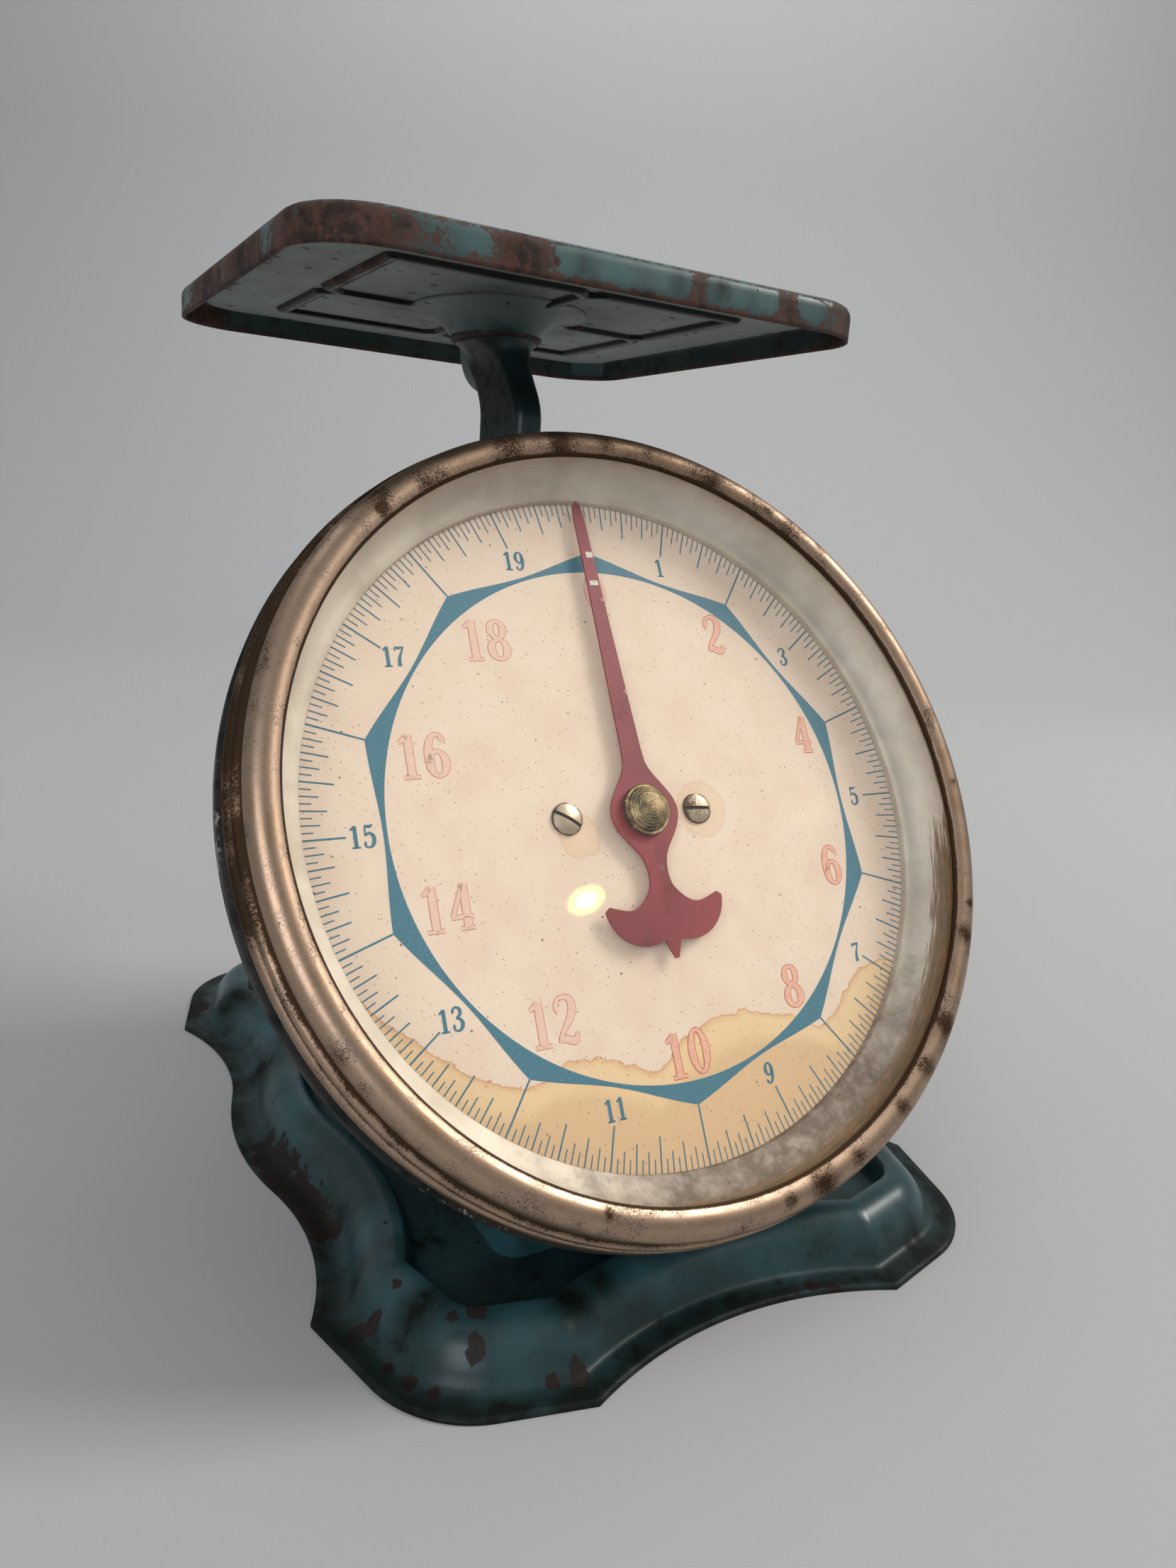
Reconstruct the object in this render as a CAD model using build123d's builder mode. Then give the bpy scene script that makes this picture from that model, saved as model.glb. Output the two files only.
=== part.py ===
"""Household spring scale with a slanted dial: twenty pounds by one ounce, one turn of the hand."""
from build123d import *
import os
from math import acos, cos, pi, radians, sin, tan

os.makedirs("parts", exist_ok=True)


def save(sub_part, name):
    """Label a finished sub-part and write its STEP file."""
    sub_part.part.label = name
    export_step(sub_part.part, f"parts/{name}.step")


# ---------------------------------------------------------------- driving dimensions (mm)
tray_side = 156.0          # a platform about six inches square inside its rolled edge
tray_corner_radius = 20.0
tray_skirt_low = 223.0     # lower edge of the platform's skirt above the bench
tray_top = 231.7
base_depth = 238.0
base_half_width = 86.0
dial_slant = 30.0          # degrees back from vertical
dial_height = 101.5        # dial centre above the bench
dial_setback = -53.0       # dial centre in front of the base's centre
tray_setback = 44.7        # tray centre behind the base's centre
platform_travel = 25.39    # for one full turn of the pointer
pointer_rest_angle = -1.4  # the hand stands a little before zero
sheet = 0.9                # body and platform sheet
base_sheet = 1.0
running_gap = 0.05         # radial clearance of what turns or slides

# The origin is under the middle of the whole scale, so the base's centre stands a little forward.
base_y = -((tray_setback + tray_side / 2) - base_depth / 2) / 2
dial_y = base_y + dial_setback
tray_y = base_y + tray_setback

slant = radians(dial_slant)
dial_plane = Plane(origin=(0, dial_y, dial_height), x_dir=(1, 0, 0), z_dir=(0, -cos(slant), sin(slant)))
rim_plane = Plane(origin=dial_plane.origin, x_dir=(1, 0, 0), z_dir=-dial_plane.y_dir)
dial_axis = Axis(dial_plane.origin, dial_plane.z_dir)


def dial_yz(up, forward):
    """Y and Z of a point on the middle line, up the dial's face and forward of it."""
    point = dial_plane.origin + dial_plane.y_dir * up + dial_plane.z_dir * forward
    return (point.Y, point.Z)


# ---------------------------------------------------------------- base stamping
cusp_front = (40.6, -119.0)
lobe_corner = (75.8, -110.5)
cusp_side = (base_half_width, -74.0)
side_join = (81.5, -24.0)
side_bulge = 85.0
front_hollow = -110.0
lobe_radius = 27.0
floor_top = 5.5
ridge_top = 11.5
flange_width = 7.0


def base_outline(inset, height):
    """Sketch of the base's outline: four lobes between cusps, moved inwards by inset."""
    with BuildSketch(Plane(origin=(0, base_y, height))) as sketch:
        with BuildLine():
            ThreePointArc((-cusp_front[0], cusp_front[1]), (0, front_hollow), cusp_front)
            FilletPolyline(cusp_front, lobe_corner, cusp_side, radius=lobe_radius)
            bulge = ThreePointArc(side_join, (side_bulge, 0), (side_join[0], -side_join[1]))
            TangentArc(side_join, cusp_side, tangent=-(bulge % 0))
            TangentArc((side_join[0], -side_join[1]), (cusp_side[0], -cusp_side[1]), tangent=bulge % 1)
            FilletPolyline((cusp_side[0], -cusp_side[1]), (lobe_corner[0], -lobe_corner[1]),
                           (cusp_front[0], -cusp_front[1]), radius=lobe_radius)
            ThreePointArc((cusp_front[0], -cusp_front[1]), (0, -front_hollow),
                          (-cusp_front[0], -cusp_front[1]))
            FilletPolyline((-cusp_front[0], -cusp_front[1]), (-lobe_corner[0], -lobe_corner[1]),
                           (-cusp_side[0], -cusp_side[1]), radius=lobe_radius)
            left = ThreePointArc((-side_join[0], -side_join[1]), (-side_bulge, 0),
                                 (-side_join[0], side_join[1]))
            TangentArc((-side_join[0], -side_join[1]), (-cusp_side[0], -cusp_side[1]), tangent=-(left % 0))
            TangentArc((-side_join[0], side_join[1]), (-cusp_side[0], cusp_side[1]), tangent=left % 1)
            FilletPolyline((-cusp_side[0], cusp_side[1]), (-lobe_corner[0], lobe_corner[1]),
                           (-cusp_front[0], cusp_front[1]), radius=lobe_radius)
        make_face()
        if inset:
            offset(amount=-inset, kind=Kind.INTERSECTION)
    return sketch.sketch


def base_form(shrink):
    """Hill of the base: a flange, then a ridge that swells up from the outline, as ruled steps."""
    steps = [(flange_width, base_sheet), (9.5, 6.0), (13.0, 10.0), (16.5, ridge_top)]
    for (low_in, low), (high_in, high) in zip(steps, steps[1:]):
        low_height = low - shrink if low > base_sheet else 0
        add(base_outline(low_in + shrink, low_height))
        add(base_outline(high_in + shrink, high - shrink))
        loft(ruled=True)


pocket_top_inset = 19.0
pocket_floor_inset = 22.5

with BuildPart() as base_hollow:
    base_form(base_sheet)
    add(base_outline(pocket_top_inset - base_sheet, ridge_top))
    add(base_outline(pocket_floor_inset - base_sheet, floor_top - base_sheet))
    loft(ruled=True, mode=Mode.SUBTRACT)

foot_tab_x = 38.4
foot_tab_y = (-52.0, 30.0)
foot_screw_radius = 1.9
foot_screw_places = [(x, base_y + y) for x in (-foot_tab_x, foot_tab_x) for y in foot_tab_y]
frame_screw_x = 34.0
frame_screw_y = (-13.0, 44.0)
frame_screw_places = [(x, base_y + y) for x in (-frame_screw_x, frame_screw_x) for y in frame_screw_y]

with BuildPart() as base:
    add(base_outline(0, 0))
    extrude(amount=base_sheet)
    base_form(0)
    add(base_outline(pocket_top_inset, ridge_top))
    add(base_outline(pocket_floor_inset, floor_top))
    loft(ruled=True, mode=Mode.SUBTRACT)
    add(base_hollow.part, mode=Mode.SUBTRACT)
    with Locations([(x, y, floor_top) for x, y in foot_screw_places + frame_screw_places]):
        Hole(radius=foot_screw_radius)
save(base, "base")

# ---------------------------------------------------------------- body: a folded wrap, a top and a back
body_half_width = 43.5
body_front = base_y - 78.5
body_back = base_y + 56.0
body_top = 164.0
body_corner = 6.0
pan_back = -10.0           # forward distance of the dial pan's back wall
wall_foot_y, wall_foot_z = dial_yz(0, pan_back)
wall_slope = tan(slant)    # setback per height of the slanted front
kink_z = wall_foot_z + (body_front - wall_foot_y) / wall_slope
brow_y = wall_foot_y + (body_top - wall_foot_z) * wall_slope
side_profile = [(body_front, floor_top), (body_front, kink_z), (brow_y, body_top),
                (body_back, body_top), (body_back, floor_top)]
tab = 9.0
cover_screw_z = (16.0, body_top - 16.0)
cover_screw_x = body_half_width - 6.0
cover_screw_radius = 1.6
bush_radius = 4.0
close_fit = 0.02           # radial clearance of pieces that are staked or pressed together
post_x = (-20.4, 17.0)     # the two dial screws stand unevenly about the hand
post_stud_radius = 1.45    # riveted end of a dial post, through pan, wrap and bearing cock
post_stud_hole = 1.5
pan_rivet_up = (-62.0, 62.0)
pan_rivet_x = 26.0
pan_rivet_radius = 1.6

with BuildPart() as body_wrap:
    with BuildSketch(Plane.YZ):
        with BuildLine():
            Polyline(*side_profile, close=True)
        make_face()
    extrude(amount=body_half_width, both=True)
    fillet(body_wrap.edges().filter_by(
        lambda e: e.center().Y < brow_y - 1 and abs(abs(e.center().X) - body_half_width) < 0.01
        and e.center().Z > floor_top + 1), radius=body_corner)
    openings = [body_wrap.faces().sort_by(Axis.Z)[0], body_wrap.faces().sort_by(Axis.Z)[-1],
                body_wrap.faces().sort_by(Axis.Y)[-1]]
    offset(amount=-sheet, openings=openings)
    with Locations([(x, y, floor_top) for x, y in foot_screw_places]):
        Box(2 * (body_half_width - sheet / 2 - foot_tab_x), tab, sheet,
            align=(Align.CENTER, Align.CENTER, Align.MIN))
    with Locations([(side * (body_half_width - tab / 2), body_back - sheet / 2, z)
                    for side in (-1, 1) for z in cover_screw_z]):
        Box(tab, sheet, tab)
    with Locations([(x, y, floor_top) for x, y in foot_screw_places]):
        Hole(radius=foot_screw_radius, depth=2 * sheet)
    with BuildSketch(dial_plane.offset(pan_back)):
        Circle(bush_radius + close_fit)
        with Locations([(x, u) for x in (-pan_rivet_x, pan_rivet_x) for u in pan_rivet_up]):
            Circle(pan_rivet_radius)
        with Locations([(x, 0) for x in post_x]):
            Circle(post_stud_hole)
    extrude(amount=-2 * sheet, mode=Mode.SUBTRACT)
    with BuildSketch(Plane.XZ.offset(-body_back)):
        with Locations([(x, z) for x in (-cover_screw_x, cover_screw_x) for z in cover_screw_z]):
            Circle(cover_screw_radius)
    extrude(amount=2 * sheet, mode=Mode.SUBTRACT)
save(body_wrap, "body_wrap")

arm_half_width = 3.1
arm_front = base_y + 19.2
arm_back = base_y + 43.2
arm_slot_gap = 1.2
slot_front = arm_front - arm_slot_gap
slot_back = arm_back + arm_slot_gap
zero_screw_y = base_y + 9.0
zero_stem_radius = 2.5
zero_hole_gap = 0.5
top_lip = 5.0
top_front = brow_y + sheet * wall_slope + running_gap   # clear of the dial pan's back

with BuildPart() as body_top_plate:
    with BuildSketch(Plane.XY.offset(body_top)):
        with Locations([(0, (top_front + body_back) / 2)]):
            Rectangle(2 * body_half_width, body_back - top_front)
        fillet(vertices().group_by(Axis.Y)[0], radius=body_corner)
    extrude(amount=sheet)
    with BuildSketch(Plane.XY.offset(body_top)):
        with Locations([(0, (slot_front + slot_back) / 2)]):
            Rectangle(2 * (arm_half_width + arm_slot_gap + sheet), slot_back - slot_front + 2 * sheet)
    extrude(amount=-top_lip)
    with BuildSketch(Plane.XY.offset(body_top + sheet)):
        with Locations([(0, (slot_front + slot_back) / 2)]):
            Rectangle(2 * (arm_half_width + arm_slot_gap), slot_back - slot_front)
        with Locations([(0, zero_screw_y)]):
            Circle(zero_stem_radius + zero_hole_gap)
    extrude(amount=-top_lip - 2 * sheet, mode=Mode.SUBTRACT)
save(body_top_plate, "body_top")

back_panel = (54.0, 118.0, 9.0)    # raised panel: width, height and corner radius
panel_rise = 1.4
with BuildPart() as back_cover:
    with BuildSketch(Plane.XZ.offset(-body_back)):
        with Locations([(0, (floor_top + body_top) / 2)]):
            Rectangle(2 * body_half_width, body_top - floor_top)
        with Locations([(x, z) for x in (-cover_screw_x, cover_screw_x) for z in cover_screw_z]):
            Circle(cover_screw_radius, mode=Mode.SUBTRACT)
    extrude(amount=-sheet)
    with BuildSketch(Plane.XZ.offset(-body_back - sheet)):
        with Locations([(0, (floor_top + body_top) / 2)]):
            RectangleRounded(*back_panel)
    extrude(amount=-panel_rise, taper=35)
save(back_cover, "back_cover")


def pan_head_screws(places, plane, head_radius, head_height, shank_radius, shank_length):
    """Slotted screws in one node, heads standing on plane at the places given."""
    with BuildPart() as screws:
        with BuildSketch(plane):
            with Locations(places):
                Circle(head_radius)
        extrude(amount=head_height)
        fillet(screws.edges().filter_by(
            lambda e: abs((e.center() - plane.origin).dot(plane.z_dir) - head_height) < 1e-3),
            radius=head_height * 0.45)
        with BuildSketch(plane):
            with Locations(places):
                Circle(shank_radius)
        extrude(amount=-shank_length)
        with BuildSketch(plane.offset(head_height)):
            with Locations(places):
                Rectangle(3 * head_radius, head_radius * 0.26, rotation=35)
        extrude(amount=-head_height * 0.55, mode=Mode.SUBTRACT)
    return screws


back_plane = Plane(origin=(0, body_back + sheet, 0), x_dir=(-1, 0, 0), z_dir=(0, 1, 0))
cover_screws = pan_head_screws([(x, z) for x in (-cover_screw_x, cover_screw_x) for z in cover_screw_z],
                               back_plane, 3.2, 1.8, cover_screw_radius - 0.1, 4.0)
save(cover_screws, "cover_screws")

foot_screws = pan_head_screws(foot_screw_places, Plane.XY.offset(floor_top + sheet), 3.0, 1.8,
                              foot_screw_radius - 0.1, 4.6)
save(foot_screws, "foot_screws")


def rivets(places, plane, head_radius, shank_radius, grip):
    """Round rivets in one node: a domed head on plane, a shank through grip, a head behind."""
    with BuildPart() as group:
        with BuildSketch(plane):
            with Locations(places):
                Circle(shank_radius)
        extrude(amount=-grip)
        for level, way in ((0, 1), (-grip, -1)):
            with BuildSketch(plane.offset(level)):
                with Locations(places):
                    Circle(head_radius)
            extrude(amount=way * head_radius * 0.4, taper=35)
    return group


# ---------------------------------------------------------------- dial pan, dial and its posts
pan_rim_radius = 100.0
pan_floor_radius = 84.0
pan_mouth_radius = 92.5
pan_rim_front = 0.5
dial_radius = 90.9
dial_thickness = 0.6
dial_hole_radius = 4.2
step_run = 0.5             # how far the pan's sloping wall shifts between its two faces

with BuildPart() as dial_pan:
    with BuildSketch(rim_plane):
        with BuildLine():
            Polyline((bush_radius + close_fit, pan_back), (pan_floor_radius, pan_back),
                     (pan_mouth_radius, pan_rim_front - sheet), (pan_rim_radius, pan_rim_front - sheet),
                     (pan_rim_radius, pan_rim_front), (pan_mouth_radius - step_run, pan_rim_front),
                     (pan_floor_radius - step_run, pan_back + sheet),
                     (bush_radius + close_fit, pan_back + sheet), close=True)
        make_face()
    revolve(axis=dial_axis)
    with BuildSketch(dial_plane.offset(pan_back)):
        with Locations([(x, u) for x in (-pan_rivet_x, pan_rivet_x) for u in pan_rivet_up]):
            Circle(pan_rivet_radius)
        with Locations([(x, 0) for x in post_x]):
            Circle(post_stud_hole)
    extrude(amount=sheet, mode=Mode.SUBTRACT)
save(dial_pan, "dial_pan")

pan_rivets = rivets([(x, u) for x in (-pan_rivet_x, pan_rivet_x) for u in pan_rivet_up],
                    dial_plane.offset(pan_back + sheet), 3.0, pan_rivet_radius, 2 * sheet)
save(pan_rivets, "pan_rivets")

post_radius = 3.0
post_bore = 1.45
post_bore_depth = 6.0
post_stud_length = 4.2     # from the pan's floor through pan, wrap and bearing cock
dial_screw_hole = 1.6
with BuildPart() as dial_posts:
    with BuildSketch(dial_plane.offset(pan_back + sheet)):
        with Locations([(x, 0) for x in post_x]):
            RegularPolygon(post_radius, 6)
    extrude(amount=-pan_back - sheet - dial_thickness)
    with BuildSketch(dial_plane.offset(pan_back + sheet)):
        with Locations([(x, 0) for x in post_x]):
            Circle(post_stud_radius)
    extrude(amount=-post_stud_length)
    with BuildSketch(dial_plane.offset(-dial_thickness)):
        with Locations([(x, 0) for x in post_x]):
            Circle(post_bore)
    extrude(amount=-post_bore_depth, mode=Mode.SUBTRACT)
save(dial_posts, "dial_posts")

with BuildPart() as dial_plate:
    with BuildSketch(dial_plane.offset(-dial_thickness)):
        Circle(dial_radius)
        Circle(dial_hole_radius, mode=Mode.SUBTRACT)
        with Locations([(x, 0) for x in post_x]):
            Circle(dial_screw_hole, mode=Mode.SUBTRACT)
    extrude(amount=dial_thickness)
save(dial_plate, "dial_plate")

dial_screws = pan_head_screws([(x, 0) for x in post_x], dial_plane, 4.0, 1.5, post_bore - 0.05, 5.5)
save(dial_screws, "dial_screws")

# ---------------------------------------------------------------- retainer, glass and bezel
window_radius = 83.6
retainer_wall = 0.5
retainer_radius = 95.6
glass_back = 12.2
glass_front = 14.0

with BuildPart() as dial_retainer:
    with BuildSketch(rim_plane):
        with BuildLine():
            Line((window_radius, 0), (window_radius, 2.2))
            Line((window_radius, 2.2), (window_radius + 0.5, 2.2))
            ThreePointArc((window_radius + 0.5, 2.2), (89.6, 5.4), (92.6, glass_back))
            Line((92.6, glass_back), (retainer_radius, glass_back))
            Line((retainer_radius, glass_back), (retainer_radius, pan_rim_front))
            Line((retainer_radius, pan_rim_front), (retainer_radius - retainer_wall, pan_rim_front))
            Line((retainer_radius - retainer_wall, pan_rim_front),
                 (retainer_radius - retainer_wall, glass_back - retainer_wall))
            Line((retainer_radius - retainer_wall, glass_back - retainer_wall),
                 (93.2, glass_back - retainer_wall))
            ThreePointArc((93.2, glass_back - retainer_wall), (90.0, 4.9), (window_radius + 0.9, 1.6))
            Line((window_radius + 0.9, 1.6), (window_radius + 0.9, 0))
            Line((window_radius + 0.9, 0), (window_radius, 0))
        make_face()
    revolve(axis=dial_axis)
save(dial_retainer, "dial_retainer")

with BuildPart() as glass:
    with BuildSketch(dial_plane.offset(glass_back)):
        Circle(retainer_radius)
    extrude(amount=glass_front - glass_back)
save(glass, "glass")

# Spun brass bezel: a rolled bead at the back, a band, a groove, then the wide roll to the glass.
bezel_outside = [(99.1, 3.4), (99.35, 4.9), (99.0, 6.5), (98.3, 7.4), (98.3, 8.6), (97.7, 9.9), (96.9, 10.8)]
bezel_roll = [(96.9, 10.8), (96.5, 13.3), (94.9, 15.3), (92.6, 16.0), (89.6, 14.9)]
bezel_inside = [(89.6, 14.9), (89.6, glass_front), (retainer_radius + 0.1, glass_front),
                (retainer_radius + 0.1, 3.4), (99.1, 3.4)]

with BuildPart() as bezel:
    with BuildSketch(rim_plane):
        with BuildLine():
            Polyline(*bezel_outside)
            Spline(*bezel_roll, tangents=[(0.25, 1), (-1, -0.65)])
            Polyline(*bezel_inside)
        make_face()
    revolve(axis=dial_axis)
save(bezel, "bezel")

# ---------------------------------------------------------------- pointer arbor and its bearings
arbor_radius = 1.5
bush_flange_radius = 6.5
pinion_teeth = 14
pinion_module = 0.5
pinion_back = -35.5
pinion_length = 18.0
cock_back = -40.0
cock_strap = 1.6
cock_half_height = 6.0
wall_inside = pan_back - sheet
front_bush_back = -14.0
front_bush_flange = pan_back + 2.1
rear_bush_radius = 2.8
rear_flange_radius = 4.2
rear_flange_front = cock_back + cock_strap + 1.0
rear_bush_back = cock_back - 1.5

with BuildPart() as front_bush:
    with BuildSketch(rim_plane):
        with BuildLine():
            Polyline((arbor_radius + running_gap, front_bush_back), (bush_radius, front_bush_back),
                     (bush_radius, pan_back + sheet), (bush_flange_radius, pan_back + sheet),
                     (bush_flange_radius, front_bush_flange), (arbor_radius + running_gap, front_bush_flange),
                     close=True)
        make_face()
    revolve(axis=dial_axis)
save(front_bush, "front_bush")

with BuildPart() as bearing_cock:
    with BuildSketch(rim_plane):
        with BuildLine():
            Polyline((-26, wall_inside), (-26, wall_inside - cock_strap), (-15, wall_inside - cock_strap),
                     (-15, cock_back), (13.6, cock_back), (13.6, wall_inside - cock_strap),
                     (22, wall_inside - cock_strap), (22, wall_inside), (12, wall_inside),
                     (12, cock_back + cock_strap), (-13.4, cock_back + cock_strap), (-13.4, wall_inside),
                     close=True)
        make_face()
    extrude(amount=cock_half_height, both=True)
    with BuildSketch(dial_plane.offset(cock_back)):
        Circle(rear_bush_radius + close_fit)
    extrude(amount=cock_strap, mode=Mode.SUBTRACT)
    with BuildSketch(dial_plane.offset(wall_inside)):
        with Locations([(x, 0) for x in post_x]):
            Circle(post_stud_hole)
    extrude(amount=-cock_strap, mode=Mode.SUBTRACT)
save(bearing_cock, "bearing_cock")

with BuildPart() as rear_bush:
    with BuildSketch(rim_plane):
        with BuildLine():
            Polyline((arbor_radius + running_gap, rear_bush_back), (rear_bush_radius, rear_bush_back),
                     (rear_bush_radius, cock_back + cock_strap), (rear_flange_radius, cock_back + cock_strap),
                     (rear_flange_radius, rear_flange_front), (arbor_radius + running_gap, rear_flange_front),
                     close=True)
        make_face()
    revolve(axis=dial_axis)
save(rear_bush, "rear_bush")

pointer_back = 2.1
pointer_thickness = 0.6
thread_radius = 1.2
thread_length = 3.2
arbor_tail = 2.0

with BuildPart() as pointer_arbor:
    with BuildSketch(dial_plane.offset(cock_back - arbor_tail)):
        Circle(arbor_radius)
    extrude(amount=pointer_back - cock_back + arbor_tail)
    with BuildSketch(dial_plane.offset(pointer_back)):
        Circle(thread_radius)
    extrude(amount=thread_length)
save(pointer_arbor, "pointer_arbor")

pitch_radius = pinion_module * pinion_teeth / 2
pressure_angle = radians(20)
half_tooth = 0.33          # at the pitch line; the rest of the pitch is backlash
addendum = 0.4
dedendum = 0.6
pinion_hub_radius = 2.6
pinion_hub_length = 1.7


def involute(angle):
    """Involute of an angle, in radians."""
    return tan(angle) - angle


def flank_angle(radius):
    """Half angle of a pinion tooth at a radius, from the involute of the base circle."""
    base_radius = pitch_radius * cos(pressure_angle)
    if radius <= base_radius:
        return half_tooth / pitch_radius + involute(pressure_angle)
    return half_tooth / pitch_radius + involute(pressure_angle) - involute(acos(base_radius / radius))


flank_radii = [pitch_radius - dedendum, pitch_radius * cos(pressure_angle), pitch_radius - 0.05,
               pitch_radius + 0.2, pitch_radius + addendum]
pinion_points = []
for tooth in range(pinion_teeth):
    middle = 2 * pi * (tooth + 0.5) / pinion_teeth
    flank = [(r, -flank_angle(r)) for r in flank_radii] + [(r, flank_angle(r)) for r in reversed(flank_radii)]
    pinion_points += [(r * cos(middle + a), r * sin(middle + a)) for r, a in flank]

with BuildPart() as pinion:
    with BuildSketch(dial_plane.offset(pinion_back)):
        with BuildLine():
            Polyline(*pinion_points, close=True)
        make_face()
        Circle(arbor_radius, mode=Mode.SUBTRACT)
    extrude(amount=pinion_length)
    with BuildSketch(dial_plane.offset(pinion_back)):
        Circle(pinion_hub_radius)
        Circle(arbor_radius, mode=Mode.SUBTRACT)
    extrude(amount=-pinion_hub_length)
save(pinion, "pinion")

collar_radius = 2.8
collar_back = -16.2
collar_length = 2.0
with BuildPart() as arbor_collar:
    with BuildSketch(dial_plane.offset(collar_back)):
        Circle(collar_radius)
        Circle(arbor_radius, mode=Mode.SUBTRACT)
    extrude(amount=collar_length)
save(arbor_collar, "arbor_collar")

seat_radius = 4.0
seat_back = 0.5
with BuildPart() as pointer_seat:
    with BuildSketch(dial_plane.offset(seat_back)):
        Circle(seat_radius)
        Circle(arbor_radius, mode=Mode.SUBTRACT)
    extrude(amount=pointer_back - seat_back)
save(pointer_seat, "pointer_seat")

# ---------------------------------------------------------------- pointer and its nut
# Right half of the hand's outline, from the tip down: needle, hub, neck, crescent, tail.
needle = [(0, 83.4), (1.1, 82.0), (1.5, 78.0), (2.0, 50.0), (2.8, 16.0), (3.1, 12.4)]
hub_ring_radius = 9.5
neck = [(3.6, -11.2), (2.7, -15.6), (3.7, -19.6)]
crescent_inner = [(3.7, -19.6), (8.4, -23.4), (15.4, -22.0)]
crescent_tip = (16.6, -23.0)
crescent_outer = [(16.6, -23.0), (12.4, -30.4), (2.2, -31.7)]
tail = (0.5, -36.2)

rest = radians(-pointer_rest_angle)
rest_x_dir = dial_plane.x_dir * cos(rest) + dial_plane.y_dir * sin(rest)
pointer_plane = Plane(origin=dial_plane.offset(pointer_back).origin, x_dir=rest_x_dir, z_dir=dial_plane.z_dir)
with BuildPart() as pointer:
    with BuildSketch(pointer_plane):
        with BuildLine():
            Polyline(*needle)
            Spline(needle[-1], (5.4, 7.9), (hub_ring_radius, 0), (6.6, -7.0), *neck,
                   tangents=[(0.25, -1), (0.75, -1)])
            Spline(*crescent_inner, tangents=[(0.75, -1), (1, 0.35)])
            Line(crescent_inner[-1], crescent_tip)
            ThreePointArc(*crescent_outer)
            Polyline(crescent_outer[-1], tail, (0, tail[1]), needle[0])
        make_face()
        mirror(about=Plane.YZ)
        Circle(thread_radius, mode=Mode.SUBTRACT)
    extrude(amount=pointer_thickness)
save(pointer, "pointer")

nut_radius = 6.4
nut_height = 3.9
knurls = 40
knurl = (0.5, 0.4)         # depth across and width of one cut
nut_foot = pointer_back + pointer_thickness
nut_band = 1.5
nut_shoulder = nut_radius - 0.7
nut_bore_depth = 2.6
with BuildPart() as hub_nut:
    with BuildSketch(dial_plane.offset(nut_foot)):
        Circle(nut_radius)
        with PolarLocations(nut_radius, knurls):
            Rectangle(*knurl, mode=Mode.SUBTRACT)
    extrude(amount=nut_band)
    with BuildSketch(rim_plane):
        with BuildLine():
            Polyline((0, nut_foot + 1), (nut_shoulder, nut_foot + 1), (nut_shoulder, nut_foot + nut_band),
                     (5.2, nut_foot + 2.3), (3.9, nut_foot + 3.1), (2.2, nut_foot + 3.7),
                     (0, nut_foot + nut_height), close=True)
        make_face()
    revolve(axis=dial_axis)
    with BuildSketch(dial_plane.offset(nut_foot)):
        Circle(thread_radius)
    extrude(amount=nut_bore_depth, mode=Mode.SUBTRACT)
save(hub_nut, "hub_nut")

# ---------------------------------------------------------------- inner frame that carries the springs
frame_x = 40.2             # inner face of each side plate
frame_sheet = 1.5
frame_foot_x = 28.0
stay_y = base_y - 12.0
stay_z = (137.3, 49.3)
stay_rod_radius = 2.0
frame_top = body_top - 6
frame_profile = [(-22, floor_top), (-2, floor_top), (2, 10), (33, 10), (37, floor_top), (50, floor_top),
                 (50, frame_top), (-5, frame_top), (-22, 128)]
frame_windows = [(14, 35), (24, 90), (34, 132)]
window_hole_radius = 10.0
frame_foot_depth = 12.0
rod_end = 0.6              # how far a rod's riveted ends stand out of the side plates


def frame_side(side):
    """One side plate of the inner frame, with its two feet turned inwards."""
    with BuildPart() as plate:
        with BuildSketch(Plane.YZ.offset(side * frame_x)):
            with BuildLine():
                Polyline(*[(base_y + y, z) for y, z in frame_profile], close=True)
            make_face()
            with Locations([(stay_y, z) for z in stay_z]):
                Circle(stay_rod_radius + close_fit, mode=Mode.SUBTRACT)
            with Locations([(base_y + y, z) for y, z in frame_windows]):
                Circle(window_hole_radius, mode=Mode.SUBTRACT)
        extrude(amount=side * frame_sheet)
        with Locations([(side * (frame_foot_x + frame_x) / 2, base_y + y, floor_top) for y in frame_screw_y]):
            Box(frame_x - frame_foot_x, frame_foot_depth, frame_sheet,
                align=(Align.CENTER, Align.CENTER, Align.MIN))
        with Locations([(side * frame_screw_x, base_y + y, floor_top + frame_sheet) for y in frame_screw_y]):
            Hole(radius=foot_screw_radius, depth=2 * frame_sheet)
    return plate


frame_left = frame_side(-1)
save(frame_left, "frame_left")
frame_right = frame_side(1)
save(frame_right, "frame_right")

frame_screws = pan_head_screws(frame_screw_places, Plane.XY.offset(floor_top + frame_sheet), 3.2, 1.8,
                               foot_screw_radius - 0.1, 4.6)
save(frame_screws, "frame_screws")

bridge_top = frame_top - 3
bridge_bottom = bridge_top - 3
bridge_depth = 14.0
bridge_lug = 7.0
with BuildPart() as spring_bridge:
    with Locations((0, zero_screw_y, bridge_bottom)):
        Box(2 * frame_x, bridge_depth, bridge_top - bridge_bottom,
            align=(Align.CENTER, Align.CENTER, Align.MIN))
        Hole(radius=zero_stem_radius + running_gap)
    with Locations([(side * (frame_x - frame_sheet / 2), zero_screw_y, bridge_bottom) for side in (-1, 1)]):
        Box(frame_sheet, bridge_depth, bridge_lug, align=(Align.CENTER, Align.CENTER, Align.MAX))
save(spring_bridge, "spring_bridge")


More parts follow.
